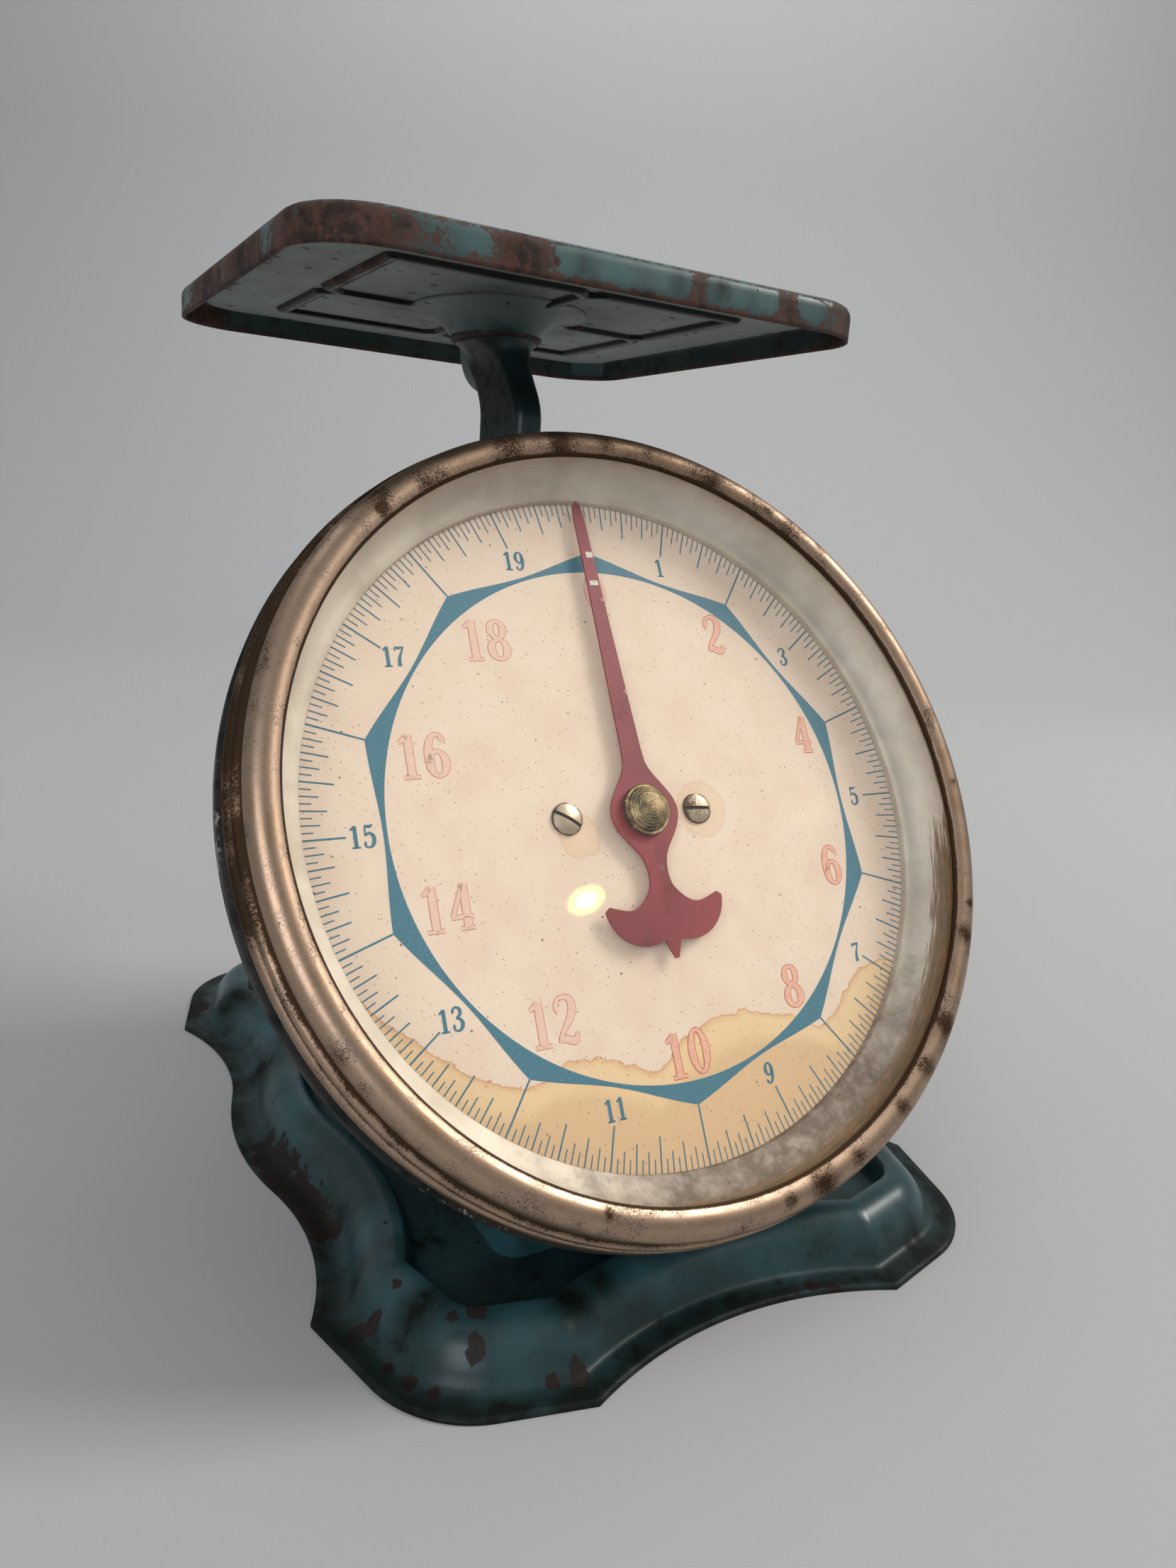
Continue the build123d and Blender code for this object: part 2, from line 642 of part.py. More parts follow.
def stay_rod(height):
    """Rod across the two side plates, on which a stay swings."""
    with BuildPart() as rod:
        with BuildSketch(Plane.YZ.offset(-frame_x - frame_sheet - rod_end)):
            with Locations([(stay_y, height)]):
                Circle(stay_rod_radius)
        extrude(amount=2 * (frame_x + frame_sheet + rod_end))
    return rod


upper_stay_rod = stay_rod(stay_z[0])
save(upper_stay_rod, "upper_stay_rod")
lower_stay_rod = stay_rod(stay_z[1])
save(lower_stay_rod, "lower_stay_rod")

# ---------------------------------------------------------------- stays that keep the platform upright
stay_reach = 36.0          # from the rod forward to the pin, level
stay_leg_x = (30.0, 32.0)
stay_leg_width = 7.0
stay_tube_radius = 3.0
stay_end = 3.0             # metal beyond the slot
pin_radius = 1.5
pin_end = 1.5
slot_half_width = 1.8
stay_rest_rise = platform_travel / 2


def stay(height):
    """A stay at rest: a tube on the rod and two legs, each with a short slot for the carriage's pin."""
    leg_plane = Plane(origin=(stay_leg_x[0], stay_y, height),
                      x_dir=(0, stay_reach, stay_rest_rise), z_dir=(1, 0, 0))
    far_radius = (stay_reach ** 2 + stay_rest_rise ** 2) ** 0.5
    with BuildPart() as check:
        with BuildSketch(Plane.YZ.offset(-stay_leg_x[1])):
            with Locations([(stay_y, height)]):
                Circle(stay_tube_radius)
        extrude(amount=2 * stay_leg_x[1])
        for level in (0, -stay_leg_x[0] - stay_leg_x[1]):
            with BuildSketch(leg_plane.offset(level)):
                with Locations([((far_radius + stay_end) / 2, 0)]):
                    SlotCenterToCenter(far_radius + stay_end, stay_leg_width)
                with Locations([((stay_reach + far_radius) / 2, 0)]):
                    SlotCenterToCenter(far_radius - stay_reach, 2 * slot_half_width, mode=Mode.SUBTRACT)
            extrude(amount=stay_leg_x[1] - stay_leg_x[0])
        with BuildSketch(Plane.YZ.offset(-stay_leg_x[1])):
            with Locations([(stay_y, height)]):
                Circle(stay_rod_radius + running_gap)
        extrude(amount=2 * stay_leg_x[1], mode=Mode.SUBTRACT)
    return check


upper_stay = stay(stay_z[0])
save(upper_stay, "upper_stay")
lower_stay = stay(stay_z[1])
save(lower_stay, "lower_stay")


def check_pin(height):
    """Pin across the arm, with its ends in the slots of a stay."""
    with BuildPart() as pin:
        with BuildSketch(Plane.YZ.offset(-stay_leg_x[1] - pin_end)):
            with Locations([(stay_y + stay_reach, height + stay_rest_rise)]):
                Circle(pin_radius)
        extrude(amount=2 * (stay_leg_x[1] + pin_end))
    return pin


upper_check_pin = check_pin(stay_z[0])
save(upper_check_pin, "upper_check_pin")
lower_check_pin = check_pin(stay_z[1])
save(lower_check_pin, "lower_check_pin")

# ---------------------------------------------------------------- zero screw, spring yoke and springs
spring_x = 20.0
yoke_top = bridge_bottom - 6
yoke_bottom = yoke_top - 4
yoke_half_length = 26.0
coil_top = yoke_bottom - 7
coil_bottom = coil_top - 34
coil_radius = 6.8
wire = 1.6
hook_radius = 0.8
hook_hole = 1.0
yoke_depth = 10.0
crossbar_top = coil_bottom - 6
crossbar_bottom = crossbar_top - 3
zero_stem_low = yoke_bottom - 2
zero_collar = (4.0, 2.0)   # radius and thickness of the collar that rests on the bridge
knob_radius = 6.0
knob_low = body_top + 2
knob_height = 8.0
knob_knurls = 24
knob_knurl = (0.8, 0.6)

with BuildPart() as zero_screw:
    with BuildSketch(Plane.XY.offset(zero_stem_low)):
        with Locations([(0, zero_screw_y)]):
            Circle(zero_stem_radius)
    extrude(amount=knob_low - zero_stem_low + 1)
    with BuildSketch(Plane.XY.offset(bridge_top + running_gap)):
        with Locations([(0, zero_screw_y)]):
            Circle(zero_collar[0])
    extrude(amount=zero_collar[1])
    with BuildSketch(Plane.XY.offset(knob_low)):
        with Locations([(0, zero_screw_y)]):
            Circle(knob_radius)
            with PolarLocations(knob_radius, knob_knurls):
                Rectangle(*knob_knurl, mode=Mode.SUBTRACT)
    extrude(amount=knob_height)
save(zero_screw, "zero_screw")

with BuildPart() as spring_yoke:
    with BuildSketch(Plane.XY.offset(yoke_bottom)):
        with Locations([(0, zero_screw_y)]):
            SlotOverall(2 * yoke_half_length, yoke_depth)
            Circle(zero_stem_radius + running_gap, mode=Mode.SUBTRACT)
        with Locations([(side * spring_x, zero_screw_y) for side in (-1, 1)]):
            Circle(hook_hole, mode=Mode.SUBTRACT)
    extrude(amount=yoke_top - yoke_bottom)
save(spring_yoke, "spring_yoke")


def coil_spring(side):
    """A close-wound spring drawn as a tube, with its straight ends headed beyond yoke and crossbar."""
    spring_plane = Plane(origin=(side * spring_x, zero_screw_y, 0), x_dir=(1, 0, 0), z_dir=(0, -1, 0))
    with BuildPart() as spring:
        with BuildSketch(spring_plane):
            with BuildLine():
                Polyline((0, crossbar_bottom - 1), (wire, crossbar_bottom - 1), (wire, crossbar_bottom),
                         (hook_radius, crossbar_bottom), (hook_radius, coil_bottom),
                         (coil_radius, coil_bottom), (coil_radius, coil_top), (hook_radius, coil_top),
                         (hook_radius, yoke_top + 1), (wire, yoke_top + 1), (wire, yoke_top + 2),
                         (0, yoke_top + 2), (0, coil_top - wire), (coil_radius - wire, coil_top - wire),
                         (coil_radius - wire, coil_bottom + wire), (0, coil_bottom + wire), close=True)
            make_face()
        revolve(axis=Axis((side * spring_x, zero_screw_y, 0), (0, 0, 1)))
    return spring


spring_left = coil_spring(-1)
save(spring_left, "spring_left")
spring_right = coil_spring(1)
save(spring_right, "spring_right")

# ---------------------------------------------------------------- load carriage: crossbar, rack, bracket
carriage_front = base_y + 14.0
cheek_back = base_y + 30.0
cheek_sheet = 1.9
clip_bottom = crossbar_bottom - 4
clip_height = 11.0
clip_width = 12.0
clip_rivet_place = (base_y + 25.0, clip_bottom + clip_height / 2)
clip_rivet_radius = 1.4

with BuildPart() as crossbar:
    with BuildSketch(Plane.XY.offset(crossbar_bottom)):
        with Locations([(0, zero_screw_y)]):
            SlotOverall(2 * yoke_half_length, yoke_depth)
        with Locations([(side * spring_x, zero_screw_y) for side in (-1, 1)]):
            Circle(hook_hole, mode=Mode.SUBTRACT)
    extrude(amount=crossbar_top - crossbar_bottom)
    with BuildSketch(Plane.XY.offset(clip_bottom)):
        with Locations([(0, (carriage_front + arm_front) / 2)]):
            Rectangle(clip_width, arm_front - carriage_front)
        with Locations([(side * (arm_half_width + cheek_sheet / 2), (arm_front + cheek_back) / 2)
                        for side in (-1, 1)]):
            Rectangle(cheek_sheet, cheek_back - arm_front)
    extrude(amount=clip_height)
    with BuildSketch(Plane.YZ.offset(-arm_half_width - cheek_sheet)):
        with Locations(clip_rivet_place):
            Circle(clip_rivet_radius)
    extrude(amount=2 * (arm_half_width + cheek_sheet), mode=Mode.SUBTRACT)
save(crossbar, "crossbar")

carriage_rivets = rivets([clip_rivet_place], Plane.YZ.offset(arm_half_width + cheek_sheet), 2.6,
                         clip_rivet_radius, 2 * (arm_half_width + cheek_sheet))
save(carriage_rivets, "carriage_rivets")

rack_back = -21.5
rack_thickness = 3.0
rack_spine = 8.0
rack_low = -6.0
rack_high = 33.0
rack_pitch = pi * pinion_module
tooth_root = 0.53          # half thickness at the root line
tooth_tip = 0.184          # half thickness at the tip line
rack_root_x = pitch_radius + 0.55
rack_tip_x = pitch_radius - addendum
rack_teeth = 25
teeth_below = 3            # teeth below the level of the pinion's axis at rest
bracket_sheet = 1.6
bracket_foot = (3.4, 7.0, 1.2)

rack_points = [(rack_spine, rack_low), (rack_root_x, rack_low)]
for tooth in range(-teeth_below, rack_teeth - teeth_below - 1):
    middle = tooth * rack_pitch
    rack_points += [(rack_root_x, middle - tooth_root), (rack_tip_x, middle - tooth_tip),
                    (rack_tip_x, middle + tooth_tip), (rack_root_x, middle + tooth_root)]
rack_points += [(rack_root_x, rack_high), (rack_spine, rack_high)]

with BuildPart() as rack:
    with BuildSketch(dial_plane.offset(rack_back)):
        with BuildLine():
            Polyline(*rack_points, close=True)
        make_face()
    extrude(amount=rack_thickness)
save(rack, "rack")

with BuildPart() as rack_bracket:
    with BuildSketch(Plane.YZ.offset(rack_spine)):
        with BuildLine():
            Polyline((base_y - 23.7, 115.2), (base_y - 20.6, 120.6), (base_y + 10, 121),
                     (base_y + 12.5, 118.5), (base_y + 12.5, crossbar_top), (base_y + 5.5, crossbar_top),
                     (base_y + 5.5, 115.5), close=True)
        make_face()
    extrude(amount=bracket_sheet)
    with Locations((rack_spine + bracket_sheet, base_y + 9, crossbar_top)):
        Box(*bracket_foot, align=(Align.MIN, Align.CENTER, Align.MIN))
save(rack_bracket, "rack_bracket")

# ---------------------------------------------------------------- arm, gusset, boss and platform
arm_sheet = 1.2
arm_low = 46.0
foot_plate_bottom = tray_top - 4.8
arm_front_line = [(19.2, 198), (20.6, 201.8), (23.3, 205.4), (26.8, 209.4), (30.0, 213.8), (31.3, 219),
                  (31.3, foot_plate_bottom)]
arm_back_line = [(58.1, foot_plate_bottom), (58.1, 219.5), (56.2, 216.1), (52.8, 212.3), (48.4, 208.5),
                 (45.1, 204.2), (43.2, 200)]
gusset_line = [(44, 205), (56, 207.5), (62, 210), (67, 215), (69, 219.5), (44, 219.5)]
tray_rivet_places = [(x, y) for x in (-6, 6) for y in (-9, 9)]
tray_rivet_radius = 1.2
foot_plate = (18.0, 32.0)
beyond_arm = base_y + 80   # anywhere behind the arm
pin_places = [(stay_y + stay_reach, z + stay_rest_rise) for z in stay_z]

with BuildPart() as arm:
    with BuildSketch(Plane.YZ):
        with BuildLine():
            Polyline((arm_front, arm_low), *[(base_y + y, z) for y, z in arm_front_line],
                     *[(base_y + y, z) for y, z in arm_back_line], (arm_back, arm_low), close=True)
        make_face()
    extrude(amount=arm_half_width, both=True)
    with BuildSketch(Plane.YZ):
        with BuildLine():
            Polyline((arm_front + arm_sheet, arm_low),
                     *[(base_y + y + arm_sheet, z) for y, z in arm_front_line],
                     (beyond_arm, foot_plate_bottom), (beyond_arm, arm_low), close=True)
        make_face()
    extrude(amount=arm_half_width - arm_sheet, both=True, mode=Mode.SUBTRACT)
    with Locations((0, tray_y, foot_plate_bottom)):
        Box(*foot_plate, arm_sheet, align=(Align.CENTER, Align.CENTER, Align.MIN))
    with BuildSketch(Plane.YZ.offset(-arm_half_width)):
        with Locations(pin_places):
            Circle(pin_radius)
        with Locations(clip_rivet_place):
            Circle(clip_rivet_radius)
    extrude(amount=2 * arm_half_width, mode=Mode.SUBTRACT)
    with Locations([(x, tray_y + y, foot_plate_bottom + arm_sheet) for x, y in tray_rivet_places]):
        Hole(radius=tray_rivet_radius, depth=2 * arm_sheet)
save(arm, "arm")

with BuildPart() as arm_gusset:
    with BuildSketch(Plane.YZ):
        with BuildLine():
            Polyline(*[(base_y + y, z) for y, z in gusset_line], close=True)
        make_face()
    extrude(amount=arm_half_width - arm_sheet, both=True)
save(arm_gusset, "arm_gusset")

tray_field = tray_top - 2.7
boss_sheet = 1.1
boss_steps = [(17.5, 24.0, tray_field - sheet), (14.0, 20.0, 225.0), (12.2, 17.3, 222.5),
              (11.3, 15.9, 220.3)]     # half width, half depth and level


def boss_section(half_x, half_y, level):
    """Sketch of one level of the boss."""
    with BuildSketch(Plane(origin=(0, tray_y, level))) as section:
        Ellipse(half_x, half_y)
    return section.sketch


def boss_form(thickness):
    """Pressed boss as stacked ruled ellipses, thinner by thickness all round."""
    for (x_high, y_high, high), (x_low, y_low, low) in zip(boss_steps, boss_steps[1:]):
        add(boss_section(x_high - thickness, y_high - thickness, high))
        add(boss_section(x_low - thickness, y_low - thickness, low))
        loft(ruled=True)


with BuildPart() as boss_hollow:
    boss_form(boss_sheet)

with BuildPart() as tray_boss:
    boss_form(0)
    add(boss_hollow.part, mode=Mode.SUBTRACT)
save(tray_boss, "tray_boss")

rim_width = 5.0
field_slope = 2.2
edge_radius = 3.0
ridge_middle = 49.5
ridge_width = 3.0
ridge_depth = 1.2
groove_width = ridge_width - 1.2
notch = 4.0
ridge_line = []
for turn in range(4):
    for along, out in ((-ridge_middle, ridge_middle), (-notch, ridge_middle), (0, ridge_middle - notch),
                       (notch, ridge_middle)):
        ridge_line.append(Vector(along, out).rotate(Axis.Z, -90 * turn))
rib_inner = 25.0
rib_length = ridge_middle - notch - rib_inner
rib_middle = rib_inner + rib_length / 2

with BuildPart() as tray_hollow:
    with BuildSketch(Plane(origin=(0, tray_y, tray_skirt_low))):
        RectangleRounded(tray_side - 2 * sheet, tray_side - 2 * sheet, tray_corner_radius - sheet)
    extrude(amount=tray_top - tray_skirt_low - sheet)
    fillet(tray_hollow.faces().sort_by(Axis.Z)[-1].edges(), radius=edge_radius - sheet)
    low = tray_side - 2 * (rim_width + field_slope - sheet)
    high = tray_side - 2 * (rim_width - sheet)
    with BuildSketch(Plane(origin=(0, tray_y, tray_field - sheet))):
        RectangleRounded(low, low, tray_corner_radius - rim_width - field_slope + sheet)
    with BuildSketch(Plane(origin=(0, tray_y, tray_top - sheet))):
        RectangleRounded(high, high, tray_corner_radius - rim_width + sheet)
    loft(ruled=True, mode=Mode.SUBTRACT)

with BuildPart() as tray:
    with BuildSketch(Plane(origin=(0, tray_y, tray_skirt_low))):
        RectangleRounded(tray_side, tray_side, tray_corner_radius)
    extrude(amount=tray_top - tray_skirt_low)
    fillet(tray.faces().sort_by(Axis.Z)[-1].edges(), radius=edge_radius)
    add(tray_hollow.part, mode=Mode.SUBTRACT)
    low = tray_side - 2 * (rim_width + field_slope)
    high = tray_side - 2 * rim_width
    with BuildSketch(Plane(origin=(0, tray_y, tray_field))):
        RectangleRounded(low, low, tray_corner_radius - rim_width - field_slope)
    with BuildSketch(Plane(origin=(0, tray_y, tray_top))):
        RectangleRounded(high, high, tray_corner_radius - rim_width)
    loft(ruled=True, mode=Mode.SUBTRACT)
    for level, depth, width, way in ((tray_field - sheet, ridge_depth, ridge_width, Mode.ADD),
                                     (tray_field, ridge_depth, groove_width, Mode.SUBTRACT)):
        with BuildSketch(Plane(origin=(0, tray_y, level))):
            with BuildLine():
                Polyline(*ridge_line, close=True)
            trace(line_width=width)
            with Locations([(0, rib_middle), (0, -rib_middle)]):
                Rectangle(width, rib_length)
            with Locations([(rib_middle, 0), (-rib_middle, 0)]):
                Rectangle(rib_length, width)
        extrude(amount=-depth, mode=way)
    with Locations([(x, tray_y + y, tray_field) for x, y in tray_rivet_places]):
        Hole(radius=tray_rivet_radius, depth=2 * sheet)
save(tray, "tray")

tray_rivets = rivets([(x, tray_y + y) for x, y in tray_rivet_places], Plane.XY.offset(tray_field), 2.4,
                     tray_rivet_radius, sheet + arm_sheet)
save(tray_rivets, "tray_rivets")
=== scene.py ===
"""Looks of a household spring scale with a slanted dial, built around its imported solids."""
from math import atan2, cos, pi, radians, sin

import bmesh
import bpy
import numpy as np
from mathutils import Matrix


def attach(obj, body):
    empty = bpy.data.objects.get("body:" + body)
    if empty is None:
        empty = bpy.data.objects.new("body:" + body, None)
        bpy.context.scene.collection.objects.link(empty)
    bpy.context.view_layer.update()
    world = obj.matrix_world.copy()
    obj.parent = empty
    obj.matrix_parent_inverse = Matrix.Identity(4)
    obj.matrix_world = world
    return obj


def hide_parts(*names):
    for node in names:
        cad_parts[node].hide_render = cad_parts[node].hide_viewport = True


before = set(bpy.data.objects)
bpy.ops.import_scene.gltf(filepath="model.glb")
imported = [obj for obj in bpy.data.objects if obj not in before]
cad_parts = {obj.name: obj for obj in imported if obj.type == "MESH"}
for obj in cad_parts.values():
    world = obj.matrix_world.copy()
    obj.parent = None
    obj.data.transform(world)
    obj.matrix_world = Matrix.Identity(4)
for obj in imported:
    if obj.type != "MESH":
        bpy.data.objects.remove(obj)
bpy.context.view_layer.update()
mm = 0.001

# ------------------------------------------------------------ bench and room
# A pale plain floor that runs up behind as a soft wall. A soft lamp stands to the right and above, with
# dimmer ones at the left, overhead and on the wall, the grey of the room, and one small warm bulb that
# the window glass of the dial mirrors. The camera stands low at the left front.


def srgb(code, alpha=1.0):
    """Linear RGBA of an sRGB hex code: ((c + 0.055) / 1.055) ** 2.4 above the straight part."""
    value = np.array([int(code[i:i + 2], 16) for i in (0, 2, 4)]) / 255
    linear = np.where(value <= 0.04045, value / 12.92, ((value + 0.055) / 1.055) ** 2.4)
    return (*linear.tolist(), alpha)


class Nodes:
    """What adds nodes to a material. An input is a number, an sRGB hex code, a socket or a node, which is
    linked by its first output."""

    def __init__(self, material):
        self.tree = material.node_tree

    def __call__(self, kind, inputs=None, **settings):
        """Any node; settings are its own fields."""
        node = self.tree.nodes.new("ShaderNode" + kind)
        for field, value in settings.items():
            setattr(node, field, value)
        for key, value in (inputs or {}).items():
            if isinstance(value, bpy.types.Node):
                value = value.outputs[0]
            if isinstance(value, bpy.types.NodeSocket):
                self.tree.links.new(value, node.inputs[key])
            else:
                node.inputs[key].default_value = srgb(value) if isinstance(value, str) else value
        return node

    def object_place(self):
        """Each point's place on its object."""
        return self("TexCoord").outputs["Object"]

    def attributes(self, *names):
        """The values of these names that a mesh carries at its points."""
        return [self("Attribute", attribute_name=name).outputs["Fac"] for name in names]

    def noise(self, place, size, detail=2, roughness=0.5):
        """Noise with grains of a size, in the units of place."""
        return self("TexNoise", {"Vector": place, "Scale": 1 / size, "Detail": detail,
                                 "Roughness": roughness})

    def math(self, operation, *numbers, **settings):
        """A sum of up to three numbers, sockets or nodes."""
        return self("Math", dict(enumerate(numbers)), operation=operation, **settings)

    def span(self, value, start=0, end=1, low=0, high=1):
        """A value whose range from start to end becomes low to high, and goes no further."""
        return self("MapRange", {"Value": value, "From Min": start, "From Max": end, "To Min": low,
                                 "To Max": high})

    def ramp(self, value, *stops):
        """Colours or greys by a value; each stop is a place on it and the colour there."""
        node = self("ValToRGB", {"Fac": value})
        elements = node.color_ramp.elements
        while len(elements) < len(stops):
            elements.new(1.0)
        for element, (place, colour) in zip(elements, stops):
            element.position = place
            element.color = srgb(colour) if isinstance(colour, str) else (colour, colour, colour, 1)
        return node

    def mix(self, share, first, second):
        """A first colour that gives way to a second by a share."""
        return self("MixRGB", {"Fac": share, "Color1": first, "Color2": second})

    def bump(self, height, strength, distance):
        """Relief by a height."""
        return self("Bump", {"Height": height, "Strength": strength, "Distance": distance * mm})

    def surface(self, colour, roughness, **inputs):
        """The shader and the output; inputs are the shader's others, with _ for a space in their names."""
        others = {key.replace("_", " "): value for key, value in inputs.items()}
        shader = self("BsdfPrincipled", {"Base Color": colour, "Roughness": roughness, **others})
        self("OutputMaterial", {"Surface": shader})


def new_material(name):
    """An empty material, and what adds nodes to it."""
    material = bpy.data.materials.new(name)
    material.use_nodes = True
    material.node_tree.nodes.clear()
    return material, Nodes(material)


def put_mesh(name, points, faces, material, smooth_angle=40, values=None, flat=False):
    """A piece from points in mm and four-cornered faces, with its values at the points as attributes.
    Points that coincide are joined, which closes seams and poles, and all but flat prints face outwards."""
    mesh = bpy.data.meshes.new(name)
    points = np.asarray(points, np.float32).reshape(-1, 3)
    faces = np.asarray(faces, np.int32)
    mesh.vertices.add(len(points))
    mesh.vertices.foreach_set("co", (points * mm).ravel())
    mesh.loops.add(faces.size)
    mesh.loops.foreach_set("vertex_index", faces.ravel())
    mesh.polygons.add(len(faces))
    mesh.polygons.foreach_set("loop_start", np.arange(len(faces)) * faces.shape[1])
    mesh.update(calc_edges=True)
    for key, value in (values or {}).items():
        attribute = mesh.attributes.new(key, "FLOAT", "POINT")
        attribute.data.foreach_set("value", np.ravel(value).astype(np.float32))
    shape = bmesh.new()
    shape.from_mesh(mesh)
    bmesh.ops.remove_doubles(shape, verts=shape.verts, dist=0.002 * mm)
    if not flat:
        bmesh.ops.recalc_face_normals(shape, faces=shape.faces)
    shape.to_mesh(mesh)
    shape.free()
    mesh.shade_smooth()
    mesh.set_sharp_from_angle(angle=radians(smooth_angle))
    mesh.materials.append(material)
    piece = bpy.data.objects.new(name, mesh)
    bpy.context.scene.collection.objects.link(piece)
    return piece


def grid_faces(rows, columns, loop_rows=False, loop_columns=False):
    """Four-sided faces of a grid of points, joined round where a direction loops."""
    row = np.arange(rows if loop_rows else rows - 1)[:, None]
    column = np.arange(columns if loop_columns else columns - 1)[None, :]
    below, right = (row + 1) % rows, (column + 1) % columns
    corners = [down * columns + over for down, over in ((row, column), (row, right), (below, right),
                                                        (below, column))]
    return np.stack(corners, -1).reshape(-1, 4)


studio, add = new_material("studio_paint")
add.surface("B9BABB", 0.85)
floor_reach, wall_far, wall_rise, cove = 3000, 1000, 3000, 800
turn = np.linspace(0, pi / 2, 24)
cove_line = np.r_[[[-floor_reach, 0]], np.c_[cove * np.sin(turn) + wall_far, cove * (1 - np.cos(turn))],
                  [[wall_far + cove, wall_rise]]]
across = np.linspace(-floor_reach, floor_reach, 2)
view_turn = radians(-30.5)      # the wall stands square to the camera
side, depth = np.meshgrid(across, cove_line[:, 0])
floor_points = np.stack([side * cos(view_turn) - depth * sin(view_turn),
                         side * sin(view_turn) + depth * cos(view_turn),
                         np.repeat(cove_line[:, 1:], 2, 1)], -1)
floor = put_mesh("floor", floor_points, grid_faces(len(cove_line), 2), studio, flat=True)

world = bpy.data.worlds.new("room")
bpy.context.scene.world = world
world.use_nodes = True
world.node_tree.nodes["Background"].inputs["Color"].default_value = srgb("DDE0E2")
world.node_tree.nodes["Background"].inputs["Strength"].default_value = 0.45


def area_lamp(name, place, aim, size, power, colour, shape="RECTANGLE"):
    """A lamp of a width and height in metres at a place, turned towards a point."""
    lamp = bpy.data.lights.new(name, "AREA")
    lamp.shape = shape
    lamp.size, lamp.size_y = size
    lamp.energy = power
    lamp.color = srgb(colour)[:3]
    stand = bpy.data.objects.new(name, lamp)
    bpy.context.scene.collection.objects.link(stand)
    way = np.subtract(aim, place)
    flat = np.hypot(way[0], way[1])
    stand.location = place
    stand.rotation_euler = (pi / 2 - atan2(-way[2], flat), 0, atan2(way[1], way[0]) - pi / 2)


area_lamp("key", (1.33, -0.43, 1.38), (0, -0.05, 0.1), (0.6, 0.6), 18, "FFF9F2")
area_lamp("window", (-1.0, -1.2, 0.75), (0, 0, 0.12), (1.0, 1.0), 8.5, "FAFAFF")
area_lamp("ceiling", (-0.1, 0.5, 1.9), (0, 0, 0.1), (1.2, 1.2), 5, "FFFFFF")
area_lamp("wall_wash", (0.62, 1.05, 1.75), (0.85, 1.75, 0.75), (1.4, 0.4), 7, "FFFFFF")
# Where the pane mirrors the bulb, and the way from there to the bulb.
mirrored, mirror_way = np.array([-0.0265, -0.0774, 0.0904]), np.array([0.4835, -0.6952, 0.5319])
for name, far, size, power, colour in (("bulb", 1.2, (0.026, 0.018), 0.06, "FFEBC0"),
                                       ("bulb_glow", 1.22, (0.052, 0.036), 0.067, "FFC45C")):
    area_lamp(name, (mirrored + far * mirror_way).tolist(), mirrored.tolist(), size, power, colour, "ELLIPSE")

# The camera's three turns and its lens are those of a hand-held 25 mm lens, held a little askew.
heading, dip, roll = radians(30.50), radians(13.54), radians(4.12)
camera = bpy.data.objects.new("camera", bpy.data.cameras.new("camera"))
bpy.context.scene.collection.objects.link(camera)
camera.data.sensor_fit = "VERTICAL"
frame_height, lens_share = 36, 1533 / 2212
camera.data.sensor_height = frame_height
camera.data.lens = lens_share * frame_height
camera.data.clip_start = 0.01
camera.location = (-0.14234, -0.27128, 0.17053)
forward = np.array([sin(heading) * cos(dip), cos(heading) * cos(dip), -sin(dip)])
level = np.array([cos(heading), -sin(heading), 0])
right = cos(roll) * level + sin(roll) * np.cross(level, forward)
camera.rotation_euler = Matrix(np.array([right, np.cross(right, forward), -forward]).T.tolist()).to_euler()
bpy.context.scene.camera = camera
bpy.context.scene.view_settings.view_transform = "Standard"

# ------------------------------------------------------------ base
# One stamping of sheet steel under teal enamel: a flat flange, a full ridge that follows eight
# scallops, and a sunk floor for the body. It is chipped to dark brown steel along the ridge. The sunk
# floor is painted dark as shade.
base_y = -1.85


